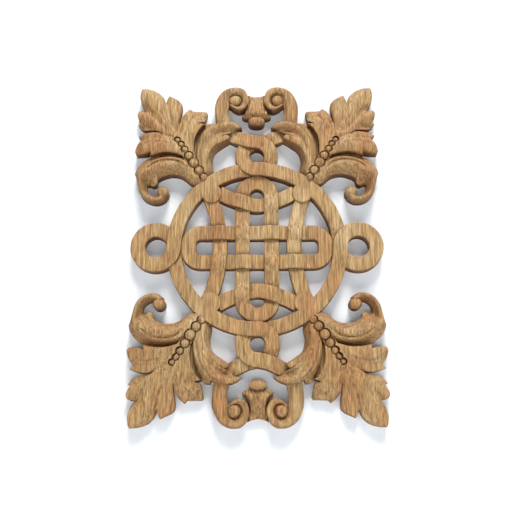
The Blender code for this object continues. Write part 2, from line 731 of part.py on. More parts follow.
def oak():
    """Bare sanded oak."""
    material = bpy.data.materials.new("oak")
    material.use_nodes = True
    shader = material.node_tree.nodes["Principled BSDF"]
    shader.inputs["Base Color"].default_value = (*OAK_COLOUR, 1)
    shader.inputs["Roughness"].default_value = OAK_ROUGHNESS
    shader.inputs["Metallic"].default_value = 0.0
    return material


def build():
    for item in list(bpy.data.objects):
        bpy.data.objects.remove(item)
    corners = []
    channels = []
    beads = []
    for index, (sx, sz) in enumerate(((1, 1), (-1, 1), (-1, -1), (1, -1))):
        corners += corner_parts(sx, sz, 0.02 * index)
        channels.append(bead_channel(sx, sz))
        beads += bead_parts(sx, sz, 0.02 * index)
    body = combine(corners[0], corners[1:], "UNION")
    body = combine(body, channels, "DIFFERENCE")
    rest = beads + ring_strands() + knot_strands()
    rest += crest_parts(1, 0.0) + crest_parts(-1, 0.08)
    x, z = BLOB_CENTRE
    for index, (sx, sz) in enumerate(((1, 1), (-1, 1), (-1, -1), (1, -1))):
        rest.append(disc("blob", sx * x, sz * z, BLOB_RADIUS, BLOB_TOP, 1.9 + 0.03 * index, DISC_SIDES))
    body = combine(body, rest, "UNION")
    body = combine(body, [back_cutter()], "DIFFERENCE")
    thin_out(body)
    body.data.materials.clear()
    body.data.materials.append(oak())
    body.name = "applique"
    body.data.name = "applique"
    return body


build()
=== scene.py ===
"""Carved oak applique: the finished carving, its wood, and a plain studio round it.

Sizes are in millimetres. Points are (x, z) from the middle of the carving, with z up.
The back is flat, at y = 0, and the carving rises from it towards -y.
"""
import json
import math

import bmesh
import bpy
import numpy as np
from mathutils import Matrix, Vector
from mathutils.geometry import delaunay_2d_cdt

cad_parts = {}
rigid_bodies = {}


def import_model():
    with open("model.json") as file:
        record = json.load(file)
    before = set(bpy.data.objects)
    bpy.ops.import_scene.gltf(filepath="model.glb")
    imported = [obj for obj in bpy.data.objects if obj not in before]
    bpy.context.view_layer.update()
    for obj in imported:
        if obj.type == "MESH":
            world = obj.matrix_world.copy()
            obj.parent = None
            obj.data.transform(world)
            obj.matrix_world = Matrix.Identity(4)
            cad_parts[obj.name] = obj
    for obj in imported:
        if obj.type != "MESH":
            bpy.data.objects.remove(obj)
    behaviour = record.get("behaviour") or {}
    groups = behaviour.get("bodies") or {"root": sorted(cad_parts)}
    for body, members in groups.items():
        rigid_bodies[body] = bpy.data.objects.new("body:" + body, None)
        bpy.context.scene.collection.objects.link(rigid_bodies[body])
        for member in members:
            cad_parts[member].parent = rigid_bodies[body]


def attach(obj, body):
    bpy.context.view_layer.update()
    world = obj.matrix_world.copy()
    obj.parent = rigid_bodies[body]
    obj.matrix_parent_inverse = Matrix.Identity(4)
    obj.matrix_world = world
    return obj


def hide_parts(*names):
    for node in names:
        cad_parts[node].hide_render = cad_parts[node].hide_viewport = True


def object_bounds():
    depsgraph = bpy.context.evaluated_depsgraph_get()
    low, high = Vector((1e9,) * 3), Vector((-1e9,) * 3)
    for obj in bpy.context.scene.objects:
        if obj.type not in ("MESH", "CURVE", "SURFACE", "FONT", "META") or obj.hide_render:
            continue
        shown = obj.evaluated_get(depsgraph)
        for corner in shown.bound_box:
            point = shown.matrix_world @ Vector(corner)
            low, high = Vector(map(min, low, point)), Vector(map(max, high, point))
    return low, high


MM = 0.001
ORIGIN_RISE = 15.2          # the origin is on the back of the knot's upper crossbar

# Bands
BAND_HALF = 7.4
RING_RADIUS = 83.3
RING_TOP = 12.4
SIDE_RING_CENTRE = 101.6
SIDE_RING_RADIUS = 18.1
SIDE_RING_END = 366
LOOP_CENTRE = 97.7
LOOP_RADIUS = 14.8
LOOP_RISE = 15.5
LEAF_ROOT = ((0, 113.2), (10, 115.2), (20, 119.6), (30, 125))
LOOP_UNDER = -5.4
LOOP_REACH = 21.0
ROOT_UNDER = -5.6
ROOT_REACH = 21.0
RING_OVER = 1.9
RING_UNDER = -4.6
TWIST_REACH = 26.0

# Inner knot
KNOT_TOP = 10.4
KNOT_OVER = 3.0
KNOT_UNDER = -3.2
KNOT_REACH = 13.5
UPRIGHT_X = 14.6
UPRIGHT_END = 54.3
BAR_Z = 15.2
BAR_HALF_LENGTH = 68.8
BAR_CORNER = 11.8
SIDE_ARC_RADIUS = 140.0
SIDE_ARC_X = 37.3
SIDE_ARC_SWEEP = 24.0
CAP_ARC = ((0, 44.4), (7, 45.5), (14.6, 47.8), (22, 50.3), (30, 53.6), (39, 58.5))
BLOB_CENTRE = (46.2, 56.8)
BLOB_RADIUS = 10.5
BLOB_TOP = 12.4

# Beads: x, z, radius, top
BEADS = (
    (82.3, 115.2, 3.0, 14.6),
    (78.3, 110.2, 3.2, 15.0),
    (74.6, 104.3, 3.7, 15.6),
    (70.0, 97.2, 4.4, 16.8),
    (65.0, 88.9, 5.2, 18.2),
    (59.4, 80.9, 4.7, 17.0),
    (54.6, 74.3, 4.0, 14.8),
)
BEAD_CLEARANCE = 0.65
BEAD_FLOOR = 9.4

# Corner leaf: edge runs between its corners, then ridges of x, z, top
LEAF_EDGES = (
    ((50, 71), (53.6, 65.4), (61.4, 73), (70.4, 84.6), (77, 97.4)),
    ((77, 97.4), (85, 100), (93, 101), (101, 100.4), (110.4, 98)),
    ((110.4, 98), (109.8, 102.8)),
    ((109.8, 102.8), (115.4, 101), (125.2, 100.4)),
    ((125.2, 100.4), (126.6, 104), (124, 112), (119.8, 117.4)),
    ((119.8, 117.4), (123.6, 121.2)),
    ((123.6, 121.2), (114, 124.6), (105, 125), (98.5, 122.5)),
    ((98.5, 122.5), (105, 127), (115.3, 128.1), (121.8, 131.3), (124.8, 135.6)),
    ((124.8, 135.6), (121.6, 136.6)),
    ((121.6, 136.6), (125.4, 143.6), (125, 148.6), (122, 150.6)),
    ((122, 150.6), (116.8, 151)),
    ((116.8, 151), (121.4, 157), (123.5, 166), (122.9, 172.6), (121.6, 176.4)),
    ((121.6, 176.4), (113.2, 175.6), (105, 172.6), (99, 166.8), (96.4, 160)),
    ((96.4, 160), (92.8, 167.8)),
    ((92.8, 167.8), (84.6, 164.1)),
    ((84.6, 164.1), (82.8, 163.4)),
    ((82.8, 163.4), (79, 159.2), (79, 151), (80.4, 143.6), (81, 136)),
    ((81, 136), (78.2, 144), (74.6, 150), (70.2, 153.8)),
    ((70.2, 153.8), (67.4, 151)),
    ((67.4, 151), (53.4, 150.8)),
    ((53.4, 150.8), (51.9, 149), (52.2, 146), (54.4, 135.8)),
    ((54.4, 135.8), (60.6, 133.8)),
    ((60.6, 133.8), (53.2, 132)),
    ((53.2, 132), (56.6, 130.4), (59.7, 126.4), (62.4, 121.2), (64.2, 115.8), (65.1, 109), (64.6, 98)),
    ((64.6, 98), (58, 88), (50, 71)),
)
LEAF_RIDGES = (
    (0.030, (76, 101, 16.4), (90, 106, 17.8), (102, 107.4, 17.0), (114, 107.5, 14.0), (126, 108, 10.4)),
    (0.045, (84, 118, 15.4), (98, 120, 14.8), (112, 121.4, 12.4), (123, 121, 9.6)),
    (0.040, (84, 120, 15.4), (97, 131, 14.6), (108, 139.4, 13.4), (117, 143.4, 12), (126, 146, 10.6)),
    (0.034, (85, 121, 15.0), (95, 139, 13.4), (104, 155, 13.2), (113, 166, 12.4), (123, 176, 10.4)),
    (0.050, (83, 121, 15.0), (86.5, 138, 13.2), (88.0, 150, 12.2), (90.5, 167, 10.4)),
    (0.045, (77, 112, 15.6), (73, 127, 14.4), (71, 139, 11.8), (69.6, 153, 6.6)),
    (0.040, (74, 120, 14.8), (65, 134, 12.8), (57, 149, 6.6)),
    (0.060, (67, 99, 15.2), (64.8, 110, 16.4), (61.0, 120, 17.2), (55, 130, 17.0)),
)
LEAF_FLOOR = 4.6

# Turned leaf towards the middle
TURNED_EDGES = (
    ((45.8, 74), (54, 74), (60, 86), (62.4, 98), (62, 107), (60.6, 115), (58, 122.4), (54.8, 128.4)),
    ((54.8, 128.4), (53.6, 133)),
    ((53.6, 133), (50.6, 135.2), (46, 135.8)),
    ((46, 135.8), (44.2, 132.5)),
    ((44.2, 132.5), (36, 136), (27, 136.2), (20, 133.6), (15.2, 129.8)),
    ((15.2, 129.8), (22.5, 127.8), (28.5, 123.4), (36.4, 119)),
    ((36.4, 119), (31, 121), (28, 118.4), (27.4, 116)),
    ((27.4, 116), (35.8, 110.4), (43.4, 104), (46.2, 93.8), (44.6, 83), (45.8, 74)),
)
TURNED_RIDGES = (
    (0.110, (56, 82, 14.6), (56.4, 95, 15.8), (55.6, 106, 16.8), (53, 116, 17.6), (48.6, 123.4, 17.8),
     (43, 128.4, 17.6), (35, 131.4, 16.6), (26, 132.6, 15), (17, 131, 12.4)),
    (0.035, (55, 84, 15), (52.6, 99, 16.2), (47.6, 109, 16.8), (40, 116.4, 16.2), (29, 118, 14.2)),
    (0.120, (61.4, 104, 13.6), (59.8, 114, 13.0), (56.6, 123, 12.2), (53.4, 130, 11.2), (51, 135, 10)),
)
TURNED_FLOOR = 6.0
# Slope of its inner side: how wide it is near the ring and at the tip
TURNED_SLOPE = (6.4, 1.6)
# Where that slope starts to narrow, over what length, its lowest height, first share and power
TURNED_SLOPE_START = 86
TURNED_SLOPE_LENGTH = 28
TURNED_BASE = 4
TURNED_FIRST = 0.1
TURNED_POWER = 0.8

# Floor of the groove between the two leaves
GROOVE = ((66, 98), (64.4, 109), (60.4, 121), (55, 131.4))
GROOVE_HALF = 3.2
GROOVE_TOP = 7.6

# Side curl: outer rail x, z, inner rail x, z, then heights across from the outer rail
CURL = (
    (58.0, 80.0, 54.4, 67.0, 9.0, 9.6, 13.0, 14.6, 14.4, 13.6, 11.2, 9.0),
    (66.0, 91.0, 65.6, 67.0, 8.0, 9.0, 15.2, 16.6, 16.2, 15.2, 13.0, 10.0),
    (75.6, 98.4, 76.9, 75.6, 7.0, 8.6, 16.4, 16.9, 18.0, 17.2, 14.6, 11.4),
    (85.6, 101.2, 87.0, 77.8, 7.0, 8.6, 16.8, 17.3, 18.5, 17.8, 14.8, 11.6),
    (96.0, 101.6, 95.0, 76.2, 7.0, 8.6, 16.8, 17.3, 18.5, 17.6, 14.4, 11.2),
    (106.4, 99.2, 101.4, 72.6, 7.4, 9.4, 16.8, 17.4, 18.2, 16.6, 13.8, 11.4),
    (115.2, 95.0, 102.8, 67.6, 8.0, 10.6, 16.6, 17.4, 16.2, 13.8, 12.6, 11.2),
    (122.4, 88.2, 106.2, 65.4, 8.4, 12.0, 16.6, 16.8, 13.6, 10.8, 10.6, 9.8),
    (125.8, 80.0, 110.2, 67.0, 8.6, 13.0, 16.8, 16.4, 13.4, 9.8, 8.4, 7.2),
    (124.6, 75.4, 112.8, 66.8, 9.2, 13.8, 16.8, 16.6, 14.8, 11.4, 8.6, 7.0),
    (122.6, 67.0, 112.8, 63.4, 9.8, 14.0, 16.6, 16.4, 15.0, 12.2, 9.2, 7.0),
    (120.2, 58.1, 111.8, 59.8, 10.0, 14.0, 16.2, 16.0, 14.8, 12.2, 9.2, 7.0),
    (114.7, 50.9, 108.6, 56.7, 10.0, 13.8, 15.8, 15.6, 14.4, 12.0, 9.2, 7.0),
    (106.2, 47.0, 104.6, 55.1, 10.0, 13.6, 15.4, 15.2, 14.0, 12.0, 9.4, 7.4),
    (98.3, 47.7, 101.4, 55.4, 10.0, 13.4, 15.0, 15.0, 14.2, 12.8, 11.0, 9.4),
    (92.4, 51.7, 98.8, 57.4, 10.0, 13.0, 14.8, 15.0, 14.8, 14.2, 13.4, 12.4),
)
CURL_SPACING = (0.0, 0.12, 0.28, 0.44, 0.58, 0.72, 0.88, 1.0)
CURL_BALL = (96.4, 58.0, 6.2, 15.6)

# Crest scroll: rails as above
SCROLL = (
    (40.0, 128.0, 26.0, 130.0, 9.0, 11.0, 11.0, 9.0),
    (42.9, 138.0, 28.0, 138.6, 9.4, 11.6, 11.6, 9.4),
    (43.9, 147.0, 29.8, 147.0, 9.6, 12.0, 12.0, 9.6),
    (43.8, 156.0, 29.0, 156.0, 9.8, 12.4, 12.4, 10.0),
    (40.6, 165.6, 28.8, 161.6, 10.0, 12.8, 12.4, 9.4),
    (35.0, 173.0, 26.8, 166.0, 10.0, 13.0, 12.2, 9.0),
    (27.2, 176.8, 23.6, 168.0, 10.0, 13.2, 12.2, 9.0),
    (19.0, 177.1, 20.2, 167.8, 10.2, 13.4, 12.4, 9.0),
    (12.3, 172.9, 17.4, 166.0, 12.4, 13.8, 12.6, 9.2),
    (9.0, 165.4, 15.8, 163.0, 13.2, 14.2, 12.8, 9.4),
    (8.8, 158.0, 15.6, 159.8, 13.6, 14.5, 12.8, 9.6),
    (12.2, 151.8, 17.2, 156.8, 13.8, 14.6, 12.8, 9.6),
    (18.0, 149.2, 20.4, 155.0, 13.2, 14.3, 12.6, 9.4),
    (24.2, 151.8, 23.6, 156.0, 10.6, 12.8, 12.0, 9.0),
    (28.6, 156.4, 26.4, 158.2, 10.0, 11.2, 10.8, 8.8),
)
SCROLL_SPACING = (0.0, 0.22, 0.74, 1.0)
SCROLL_EYE = (22.3, 161.2, 6.4, 14.4)
SCROLL_EYE_BED = (22.3, 161.2, 8.4, 8.6)

# Crest shell
SHELL_EDGES = (
    ((0, 139), (8, 140.8), (12.8, 141.6), (15.3, 143.8)),
    ((15.3, 143.8), (14.4, 146.4), (10.6, 150.6), (8.2, 157), (8, 163), (10.6, 171.4)),
    ((10.6, 171.4), (5.6, 169.2), (0, 168.2)),
)
SHELL_TOP = 12.8
SHELL_END_TOP = 5.6
SHELL_FLUTES = 5
SHELL_FLUTE_DEPTH = 0.9
SHELL_HALF = 9.0
# Its fall towards the free end, towards its foot, and at its sides
SHELL_FALL_START = 146
SHELL_FALL_LENGTH = 22
SHELL_FALL_POWER = 1.4
SHELL_FOOT_START = 140
SHELL_FOOT_LENGTH = 6
SHELL_FOOT_DROP = 3.6
SHELL_SIDE_REACH = 8
SHELL_SIDE_SLOPE = 0.5
KNOB = (0.0, 136.9, 8.8, 5.3, 15.2)
SHELL_WEB = ((-12, 151), (12, 151), (13.5, 159), (11.5, 167.4), (-11.5, 167.4), (-13.5, 159))
SHELL_WEB_TOP = 5.0

# Detail of the finished form
PATH_STEP = 1.7
JOIN_GAP = 0.3
AXIS_GAP = 0.01
PATCH_STEP = 0.95
RUN_STEP = 0.9
STRIP_STEP = RUN_STEP + 0.3
LINE_STEP = 2.0
RIDGE_STEP = 3.0
RIDGE_DROP = 0.25
GRID_ROW = 0.866
SHELL_STEP = 0.75
CURL_COLUMNS = 30
SCROLL_COLUMNS = 18
BEAD_SIDES = 26
BEAD_RINGS = 8
BEAD_RISE = 0.88
BALL_SIDES = 36
CURL_BALL_RINGS = 9
EYE_RINGS = 8
EYE_BED_EDGE = 0.4
KNOB_SIDES = 40
KNOB_RINGS = 10
BLOB_SIDES = 44
DOME_PEAK = 0.4
EDGE_EASE = 0.9
EDGE_EASE_SHARE = 0.85
SOLVER = "MANIFOLD"
CORNERS = ((1, 1), (-1, 1), (-1, -1), (1, -1))
BAND_ROUND = 1.3
BAND_CROWN = 0.25
CROWN_SHARES = (-0.36, 0.0, 0.36)
CROWN_SPAN = 0.7
ROUND_STEPS = 4
SLIM_WIDTH = 0.35
SLIM_STEPS = 4
BLOB_DROP = 0.06
SHARP_ANGLE = 38.0
MERGE = 0.008

# Cutters: bead bed, then the box that planes the back flat
BED_SINK = 0.2
BED_HOLLOW = 0.8
BED_SHARE = 0.8
BED_TOP = 30.0
BACK_SIDE = 300.0
BACK_DEPTH = 40.0

# How far each solid's foot reaches behind the back before it is planed off. They are spread, to
# keep the feet of solids that meet out of one plane, and the small steps below spread them more.
FEET = {
    "root": 1.0, "upper quarter": 1.15, "side ring foot": 1.3, "lower quarter": 1.45,
    "lower loop": 1.6, "upright end": 1.05, "upright": 1.2, "bar end": 1.35, "bar": 1.5,
    "side arc end": 1.65, "side arc": 1.8, "cap arc": 1.1, "cap arc end": 1.25,
    "leaf": 1.02, "turned leaf": 1.17, "groove floor": 1.32, "curl": 1.47, "curl ball": 1.62,
    "bead": 1.1, "scroll": 1.2, "scroll eye": 1.36, "scroll eye bed": 1.5, "shell": 1.62,
    "shell web": 1.88, "shell knob": 1.75, "blob": 1.9,
}
TWIN_FOOT = 0.07
CORNER_FOOT = 0.02
BEAD_FOOT = 0.04
BLOB_FOOT = 0.03
CREST_FOOT = 0.03
LOWER_CREST_FOOT = 0.08
BED_STEP = 0.03
BED_CORNER_STEP = 0.007

# Oak: colours, the pith that the growth layers run round, and their width in metres
OAK_RED = (0.335, 0.165, 0.056)
OAK_MIDDLE = (0.365, 0.217, 0.081)
OAK_GOLD = (0.43, 0.29, 0.134)
OAK_PORE = (0.13, 0.07, 0.03)
OAK_END = (0.62, 0.46, 0.34)
# Painted shade laid into the recesses
OAK_PAINTED_SHADE = (0.20, 0.11, 0.05)
# Side walls: partly the sawn sides' own darker tone, partly painted shade
OAK_SIDE_TONE_AND_SHADE = (0.47, 0.34, 0.21)
PITH_X = 0.035
PITH_Y = 0.16
LAYER_WIDTH = 0.0042
LAYER_SWAY = 0.010

# Oak: how finely each noise is drawn along x, y and z
SWAY_SCALE = (14, 14, 3.5)
BROAD_SCALE = (34, 34, 12)
FIBRE_SCALE = (720, 720, 46)
FINE_SCALE = (1700, 1700, 150)
PORE_SCALE = (1000, 1000, 80)

# Oak: tones over each noise, as places and colours, and how much of each is laid on
BROAD_TONES = ((0.34, OAK_RED), (0.52, OAK_MIDDLE), (0.68, OAK_GOLD))
FIBRE_TONES = ((0.30, (0.47, 0.42, 0.36)), (0.50, (0.98, 0.97, 0.96)), (0.70, (1.48, 1.54, 1.66)))
FINE_TONES = ((0.32, (0.72, 0.69, 0.66)), (0.66, (1.22, 1.24, 1.27)))
LAYER_TONES = ((0.0, (1.05, 1.05, 1.06)), (1.0, (0.80, 0.77, 0.73)))
ROUGH_TONES = ((0.3, (0.76, 0.76, 0.76)), (0.7, (0.62, 0.62, 0.62)))
FIBRE_SHARE = 0.85
FINE_SHARE = 0.7
LAYER_SHARE = 0.75
PORE_SHARE = 0.42
PORE_LIMIT = 0.60
LATE_WOOD_PORES = 0.25
END_GRAIN_SHARE = 0.55
END_GRAIN_POWER = 2.5
SIDE_TONE_AND_SHADE_POWER = 1.4
BUMP_STRENGTH = 0.4
BUMP_DISTANCE = 0.0003
FIBRE_HEIGHT = 0.7
PORE_HEIGHT = 0.5

# Painted shade in the recesses: cell of the height grid, and reaches in cells with the drop that counts
# as full
RECESS_CELL = 0.5
RECESS_REACHES = ((3, 2.6), (9, 8.0))

# Fine engraved lines: points, depth, width
LEAF_LINES = (
    (((116, 112.5), (110, 113.8), (104, 113.8), (98, 112.8), (91, 110.4)), 0.9, 0.8),
    (((74.6, 120), (73.4, 128), (71, 135.6), (68, 141.6), (64, 146)), 0.9, 0.8),
    (((86, 120.6), (92.4, 130.4), (97.8, 141), (102, 149)), 0.8, 0.8),
    (((118, 151), (110.5, 144.6), (101.5, 135), (93, 126)), 1.9, 3.0),
    (((96.4, 160), (94, 148), (89, 135), (85.6, 126)), 1.7, 2.6),
    (((99, 122.8), (93.5, 120.4), (88, 118.2)), 1.5, 1.8),
    (((80.4, 137), (80.8, 129), (81, 121)), 1.9, 2.0),
)
TURNED_LINES = (
    (((36.6, 119.4), (42, 115), (47.6, 108), (50.6, 99), (51, 88)), 0.9, 1.4),
    (((24, 128), (32, 126), (39.4, 121.6), (46.4, 115), (51.4, 105)), 1.6, 2.2),
    (((59.8, 96), (58.5, 105), (55.8, 113.8), (52.6, 120.3), (48.4, 126), (43, 130.8), (36, 134)),
     1.5, 1.0),
)
SHELL_LINES = (
    (((15.4, 145.4), (11, 150.8), (8.6, 157), (8.4, 163), (10.8, 171)), 3.2, 1.5),
)
CURL_LINES = (
    (((73, 84), (78, 88.6), (84, 91.2), (92, 92), (99, 91.2), (106, 88.2), (112.6, 83.6)), 1.6, 0.9),
)

# Stage and camera: places and sizes in metres, turns in degrees, the lens in millimetres
PALE = (0.9, 0.92, 0.94)
PALE_ROUGHNESS = 0.9
WALL_PLACE = (0, 0.0008, 0)
WALL_SIZE = 6.0
WALL_TURN = (90, 0, 0)
FLOOR_PLACE = (0, -1.5, -0.32)
FLOOR_SIZE = 3.0
FLOOR_TURN = (0, 0, 0)
# Lights: name, place, target, size, power in watts, colour
LIGHTS = (
    ("key", (0.15, -1.05, 1.75), (0, 0, -0.03), 0.8, 57, (1, 0.99, 0.97)),
    ("fill", (0, -1.0, -0.8), (0, 0, -0.18), 0.9, 9, (1, 0.98, 0.95)),
    ("back", (0.5, 1.2, 0.9), (0, 0, 0), 1.5, 26, (1, 0.99, 0.97)),
)
SKY_COLOUR = (0.80, 0.90, 1.0)
SKY_STRENGTH = 0.27
CAMERA_PLACE = (-0.0011, -0.6967, -0.21055)
CAMERA_TILT = 105.156
CAMERA_ROLL = -0.26
CAMERA_LENS = 50.0
CAMERA_SENSOR = 36.0


def row_points(points):
    """Points of the row's frame for (x, top, z) places on the carving."""
    pts = np.asarray(points, float)
    out = np.empty_like(pts)
    out[:, 0] = pts[:, 0]
    out[:, 1] = -pts[:, 1]
    out[:, 2] = pts[:, 2] - ORIGIN_RISE
    return out * MM


def new_object(name, verts, faces):
    """Object from points and faces, with its faces turned outward."""
    mesh = bpy.data.meshes.new(name)
    mesh.from_pydata(verts.tolist(), [], faces)
    bm = bmesh.new()
    bm.from_mesh(mesh)
    bmesh.ops.recalc_face_normals(bm, faces=bm.faces)
    bm.to_mesh(mesh)
    bm.free()
    item = bpy.data.objects.new(name, mesh)
    bpy.context.scene.collection.objects.link(item)
    return item


def loft(name, rings):
    """Closed solid through equal rings of (x, height, z) points."""
    rings = np.asarray(rings, float)
    layers, count = rings.shape[:2]
    faces = []
    for i in range(layers - 1):
        for j in range(count):
            k = (j + 1) % count
            a, b = i * count, (i + 1) * count
            faces.append((a + j, a + k, b + k, b + j))
    faces.append(tuple(range(count)))
    faces.append(tuple(range((layers - 1) * count, layers * count))[::-1])
    return new_object(name, row_points(rings.reshape(-1, 3)), faces)


def steps_for(length, step):
    """How many steps a run of this length takes."""
    return max(1, math.ceil(length / step))


def arc(cx, cz, radius, start, end, step=PATH_STEP):
    """Points on an arc from one angle to another, in degrees."""
    count = steps_for(radius * math.radians(abs(end - start)), step)
    angles = [math.radians(start + (end - start) * i / count) for i in range(count + 1)]
    return [(cx + radius * math.cos(t), cz + radius * math.sin(t)) for t in angles]


def line(start, end, step=PATH_STEP):
    """Points on a straight line."""
    count = steps_for(math.dist(start, end), step)
    return [
        (start[0] + (end[0] - start[0]) * i / count, start[1] + (end[1] - start[1]) * i / count)
        for i in range(count + 1)
    ]


def join(*runs):
    """One path from runs that meet end to end."""
    path = []
    for run in runs:
        for point in run:
            if not path or math.dist(point, path[-1]) > JOIN_GAP:
                path.append(point)
    return path


def smooth_run(points, step):
    """Curve through the points, with new points about one step apart."""
    pts = np.array(points, float)
    if len(pts) < 3:
        count = steps_for(float(np.linalg.norm((pts[-1] - pts[0])[:2])), step)
        return [tuple(pts[0] + (pts[-1] - pts[0]) * i / count) for i in range(count + 1)]
    ends = np.vstack([2 * pts[0] - pts[1], pts, 2 * pts[-1] - pts[-2]])
    out = []
    for i in range(1, len(ends) - 2):
        p0, p1, p2, p3 = ends[i - 1:i + 3]
        count = steps_for(float(np.linalg.norm((p2 - p1)[:2])), step)
        for k in range(count):
            t = k / count
            out.append(tuple(0.5 * (
                2 * p1 + (p2 - p0) * t
                + (2 * p0 - 5 * p1 + 4 * p2 - p3) * t ** 2
                + (3 * p1 - p0 - 3 * p2 + p3) * t ** 3
            )))
    out.append(tuple(pts[-1]))
    return out


def fade(distance, reach):
    """One at no distance, nought at the reach and beyond, with soft ends."""
    t = min(1.0, distance / reach)
    return 1 - t * t * (3 - 2 * t)


def tops_along(path, top, crossings):
    """Height at each point of a band: raised where it passes over, sunk where it passes under."""
    tops = []
    for point in path:
        height = top
        for x, z, change, reach in crossings:
            height += change * fade(math.dist(point, (x, z)), reach)
        tops.append(height)
    return tops


def section(half, top, depth):
    """Across a band: upright sides, rounded edges and a slightly crowned top."""
    edge = BAND_ROUND
    crown = BAND_CROWN
    points = [(-half, -depth)]
    for i in range(ROUND_STEPS + 1):
        t = math.radians(90 * i / ROUND_STEPS)
        points.append((-half + edge * (1 - math.cos(t)), top - crown - edge * (1 - math.sin(t))))
    for u in CROWN_SHARES:
        points.append((u * half, top - crown * (u / CROWN_SPAN) ** 2))
    for i in range(ROUND_STEPS, -1, -1):
        t = math.radians(90 * i / ROUND_STEPS)
        points.append((half - edge * (1 - math.cos(t)), top - crown - edge * (1 - math.sin(t))))
    points.append((half, -depth))
    return points


def band(name, path, tops, depth, slim=(0, 0), half=BAND_HALF):
    """Band along a path; slim narrows an end that is hidden under another band."""
    rings = []
    last = len(path) - 1
    for i, (x, z) in enumerate(path):
        before = path[max(0, i - 1)]
        after = path[min(last, i + 1)]
        length = math.dist(before, after)
        nx = -(after[1] - before[1]) / length
        nz = (after[0] - before[0]) / length
        width = half
        if slim[0]:
            width -= SLIM_WIDTH * max(0.0, 1 - i / SLIM_STEPS)
        if slim[1]:
            width -= SLIM_WIDTH * max(0.0, 1 - (last - i) / SLIM_STEPS)
        rings.append([(x + u * nx, top, z + u * nz) for u, top in section(width, tops[i], depth)])
    return loft(name, rings)


def turned(path):
    """Path turned half round the middle."""
    return [(-x, -z) for x, z in path]


def both_ways(name, path, top, crossings, slim):
    """A band and its twin, turned half round the middle."""
    depth = FEET[name]
    tops = tops_along(path, top, crossings)
    return [
        band(name + " a", path, tops, depth, slim),
        band(name + " b", turned(path), tops, depth + TWIN_FOOT, slim),
    ]


def dome(name, x, z, wide, tall, top, depth, sides, rings_up, rise=0.8):
    """Rounded boss on an upright foot; rise is the height of its round part over its half width."""
    rise *= min(wide, tall)
    layers = [(1.0, -depth), (1.0, top - rise)]
    for i in range(1, rings_up + 1):
        t = math.radians(90 * i / (rings_up + DOME_PEAK))
        layers.append((math.cos(t), top - rise * (1 - math.sin(t))))
    rings = [
        [(x + share * wide * math.cos(2 * math.pi * i / sides), height,
          z + share * tall * math.sin(2 * math.pi * i / sides)) for i in range(sides)]
        for share, height in layers
    ]
    return loft(name, rings)


def disc(name, x, z, radius, top, depth, sides, edge=1.8):
    """Flat round boss with a rounded edge."""
    layers = [(radius, -depth)]
    for i in range(ROUND_STEPS + 1):
        t = math.radians(90 * i / ROUND_STEPS)
        layers.append((radius - edge * (1 - math.cos(t)), top - edge * (1 - math.sin(t))))
    rings = [
        [(x + share * math.cos(2 * math.pi * i / sides), height,
          z + share * math.sin(2 * math.pi * i / sides)) for i in range(sides)]
        for share, height in layers
    ]
    return loft(name, rings)


def across(spacing, heights, columns):
    """Shares across a strip, and the height at each, on a curve through the given heights."""
    s = np.array(spacing, float)
    h = np.asarray(heights, float)
    slope = np.empty_like(h)
    slope[:, 1:-1] = (h[:, 2:] - h[:, :-2]) / (s[2:] - s[:-2])
    slope[:, 0] = (h[:, 1] - h[:, 0]) / (s[1] - s[0])
    slope[:, -1] = (h[:, -1] - h[:, -2]) / (s[-1] - s[-2])
    shares = np.linspace(0, 1, columns + 1)
    cell = np.clip(np.searchsorted(s, shares, side="right") - 1, 0, len(s) - 2)
    gap = s[cell + 1] - s[cell]
    t = (shares - s[cell]) / gap
    a, b = h[:, cell], h[:, cell + 1]
    ma, mb = slope[:, cell] * gap, slope[:, cell + 1] * gap
    value = (
        (2 * t ** 3 - 3 * t ** 2 + 1) * a + (t ** 3 - 2 * t ** 2 + t) * ma
        + (3 * t ** 2 - 2 * t ** 3) * b + (t ** 3 - t ** 2) * mb
    )
    return shares, value


def line_distance(points, path):
    """Distance from each point to a path."""
    pts = np.asarray(points, float)
    best = np.full(len(pts), 1e9)
    run_points = np.asarray(path, float)[:, :2]
    for a, b in zip(run_points, run_points[1:]):
        run = b - a
        t = np.clip(((pts - a) @ run) / max(run @ run, 1e-12), 0, 1)
        best = np.minimum(best, np.linalg.norm(pts - a - t[:, None] * run, axis=1))
    return best


def engrave(points, lines):
    """How much is cut away at each point by fine engraved lines."""
    cut = np.zeros(len(points))
    for path, depth, width in lines:
        away = line_distance(points, smooth_run(path, LINE_STEP))
        cut += depth * np.exp(-(away / width) ** 2)
    return cut


def strip(name, stations, spacing, columns, depth, sx, sz, lines=()):
    """Solid between two rails, with its height given across it at each station."""
    runs = np.array(smooth_run(stations, STRIP_STEP))
    shares, tops = across(spacing, runs[:, 4:], columns)
    outer, inner = runs[:, None, 0:2], runs[:, None, 2:4]
    places = outer + (inner - outer) * shares[None, :, None]
    flat = places.reshape(-1, 2)
    tops = tops - engrave(flat, lines).reshape(tops.shape)
    count = len(runs)
    rings = np.empty((count, columns + 3, 3))
    rings[:, 1:-1, 0] = places[:, :, 0]
    rings[:, 1:-1, 1] = tops
    rings[:, 1:-1, 2] = places[:, :, 1]
    rings[:, 0] = rings[:, 1]
    rings[:, -1] = rings[:, -2]
    rings[:, 0, 1] = -depth
    rings[:, -1, 1] = -depth
    rings[:, :, 0] *= sx
    rings[:, :, 2] *= sz
    return loft(name, rings)


